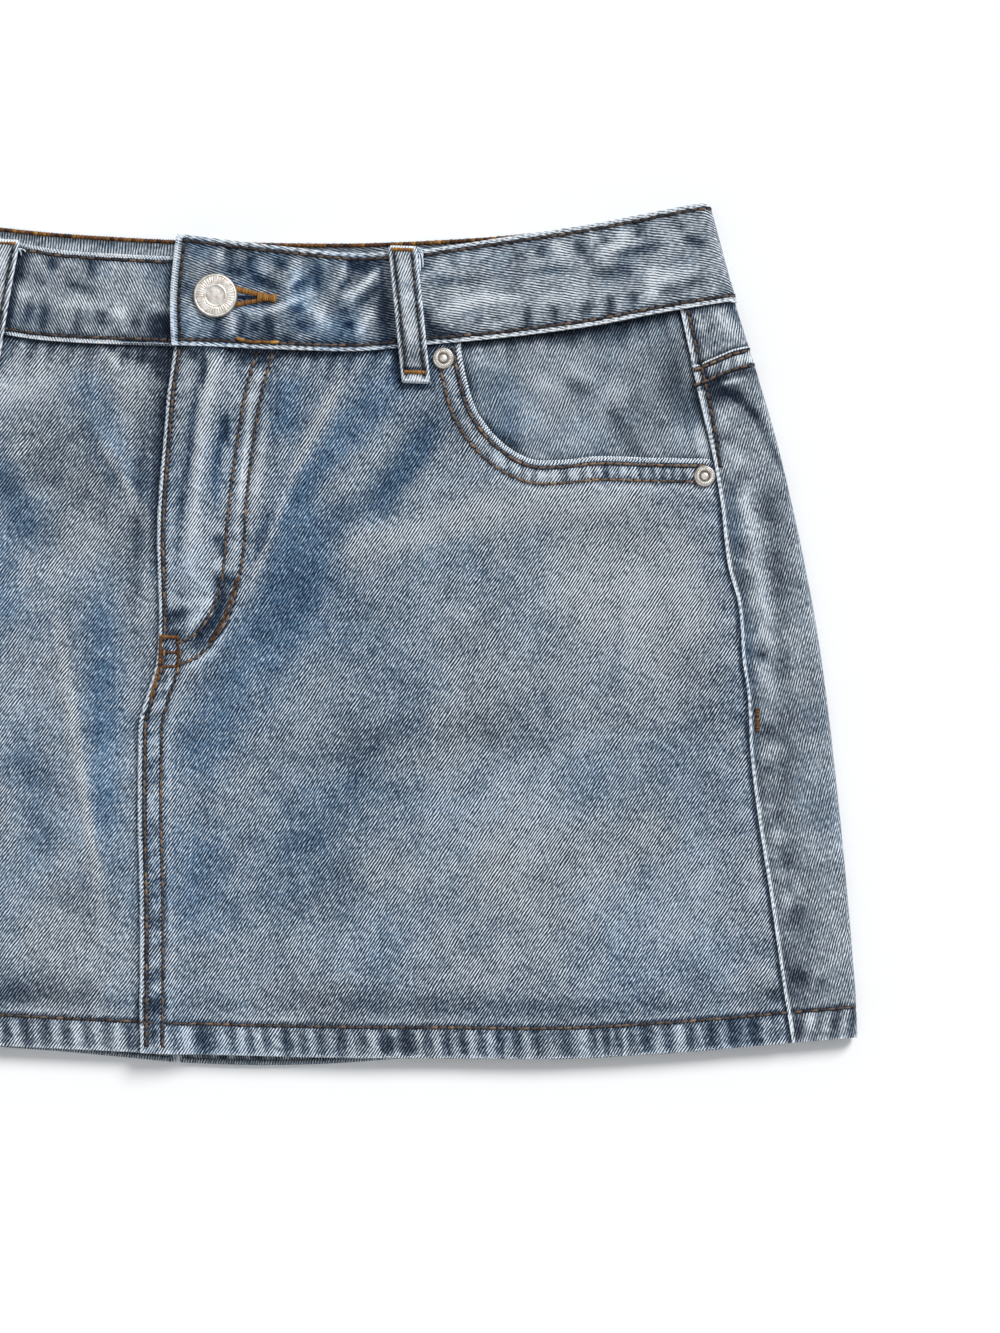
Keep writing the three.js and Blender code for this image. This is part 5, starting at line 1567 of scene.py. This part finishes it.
def cap(name, place, radius, steps, sides, reeding):
    """A round cap on the cloth: a disc whose top is stepped by (inset, rise) in mm, and whose faces between
    two radii are then reeded. Its deep places are marked, for the dark of the pickling and the painted shade
    there."""
    bpy.ops.object.select_all(action="DESELECT")
    bpy.ops.mesh.primitive_cylinder_add(vertices=sides, radius=radius * MM, depth=0.8 * MM)
    piece = bpy.context.active_object
    piece.name = name
    bpy.ops.object.mode_set(mode="EDIT")
    bpy.ops.mesh.select_mode(type="FACE")
    select_faces(piece, lambda polygon: polygon.normal.z > 0.9)
    for inset, rise in steps:
        bpy.ops.mesh.inset(thickness=inset * MM, depth=rise * MM)
    low, high = reeding
    select_faces(piece, lambda p: p.normal.z > 0.9 and low * MM < p.center.xy.length < high * MM)
    bpy.ops.mesh.inset(thickness=0.13 * MM, depth=0.35 * MM, use_individual=True)
    bpy.ops.mesh.select_all(action="SELECT")
    bpy.ops.transform.translate(value=(place[0] * MM, (MID_DOWN - place[1]) * MM, (place[2] + 0.4) * MM))
    bpy.ops.object.mode_set(mode="OBJECT")
    rounding = piece.modifiers.new("rounding", "BEVEL")
    rounding.width = 0.12 * MM
    rounding.segments = 2
    rounding.angle_limit = radians(25)
    bpy.ops.object.modifier_apply(modifier=rounding.name)
    bpy.ops.object.shade_smooth_by_angle(angle=radians(40))
    height = np.array([corner.co.z for corner in piece.data.vertices]) / MM
    recess = np.clip((height.max() - 0.2 - height) / 0.5, 0, 1) * 0.75
    piece.data.attributes.new("recess", "FLOAT", "POINT").data.foreach_set("value", recess)
    piece.data.materials.clear()
    piece.data.materials.append(metal)
    return piece


rim_steps = [(0.3, 0.5), (0.3, 0.3), (0.3, 0.05), (0.3, -0.35)]
middle_steps = [(2.9, 0.1), (0.3, 0.3), (0.3, 0.05), (0.35, -0.4), (1.5, 0.25)]
button = cap("button_cap", BUTTON_AT, 8.8, rim_steps + middle_steps, 40, (5, 7.5))
bpy.ops.object.select_all(action="DESELECT")
bpy.ops.mesh.primitive_cylinder_add(vertices=24, radius=2.1 * MM, depth=2.7 * MM)
post = bpy.context.active_object
bpy.ops.object.mode_set(mode="EDIT")
bpy.ops.mesh.select_all(action="SELECT")
bpy.ops.transform.translate(
    value=(BUTTON_AT[0] * MM, (MID_DOWN - BUTTON_AT[1]) * MM, (BUTTON_AT[2] - 1.3) * MM)
)
bpy.ops.object.mode_set(mode="OBJECT")
post.data.materials.append(metal)
join_to(button, [post])
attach(button, "root")
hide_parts("waist_button")

RIVET = 4.3  # mm, radius
ring_steps = [(0.3, 0.3), (0.3, 0.1), (0.2, -0.15), (1.2, 0)]
burr_steps = [(0.3, -0.35), (0.3, 0), (0.15, 0.5), (0.4, 0.3), (0.4, 0.15)]
for side, hand in HANDS:
    for name, x, down in (("inner", 97.6, 40.2), ("outer", 203.6, 83.4)):
        around = 2 * pi * np.arange(9) / 9
        rim = front_face(side)(side * x + RIVET * np.cos(around), down + RIVET * np.sin(around))
        place = (side * x, down, rim.max() - 0.2)
        rivet = cap(f"rivet_cap_{hand}_{name}", place, RIVET, ring_steps + burr_steps, 28, (2.4, 3.5))
        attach(rivet, "root")
        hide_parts(f"rivet_{hand}_{name}")

# The zip lies under the lapped front and stays as the CAD has it: a tape of woven polyester, its
# cross threads showing as fine ribs, and a slider of brushed brass.
tape_cloth, tree, surface = new_material("woven polyester zip tape")
place = add_node(tree, "ShaderNodeTexCoord").outputs["Object"]
rib_shape = {"Scale": 1 / (3.2 * MM), "Distortion": 0.6, "bands_direction": "Y"}
ribs = add_node(tree, "ShaderNodeTexWave", rib_shape, {0: place}).outputs["Fac"]
bump = add_node(tree, "ShaderNodeBump", {"Strength": 0.5, "Distance": 0.1 * MM}, {"Height": ribs})
tree.links.new(colour_ramp(tree, ribs, ("#1b2433", "#3c495d"), (0, 1)), surface.inputs["Base Color"])
tree.links.new(bump.outputs[0], surface.inputs["Normal"])
surface.inputs["Roughness"].default_value = 0.8

brass, tree, surface = new_material("brushed brass")
place = add_node(tree, "ShaderNodeTexCoord").outputs["Object"]
strokes = {"Scale": (1 / (0.3 * MM), 1 / (4 * MM), 1 / (0.3 * MM))}
grain = add_node(tree, "ShaderNodeMapping", strokes, {0: place}).outputs[0]
brushing = add_node(tree, "ShaderNodeTexNoise", {"Scale": 1, "Detail": 3}, {0: grain}).outputs[0]
tree.links.new(colour_ramp(tree, brushing, ("#8f7440", "#c9a863"), (0, 1)), surface.inputs["Base Color"])
surface.inputs["Metallic"].default_value = 1
surface.inputs["Roughness"].default_value = 0.38
for node, finish in (("zip_tape", tape_cloth), ("zip_slider", brass)):
    bpy.data.objects[node].material_slots[0].material = finish
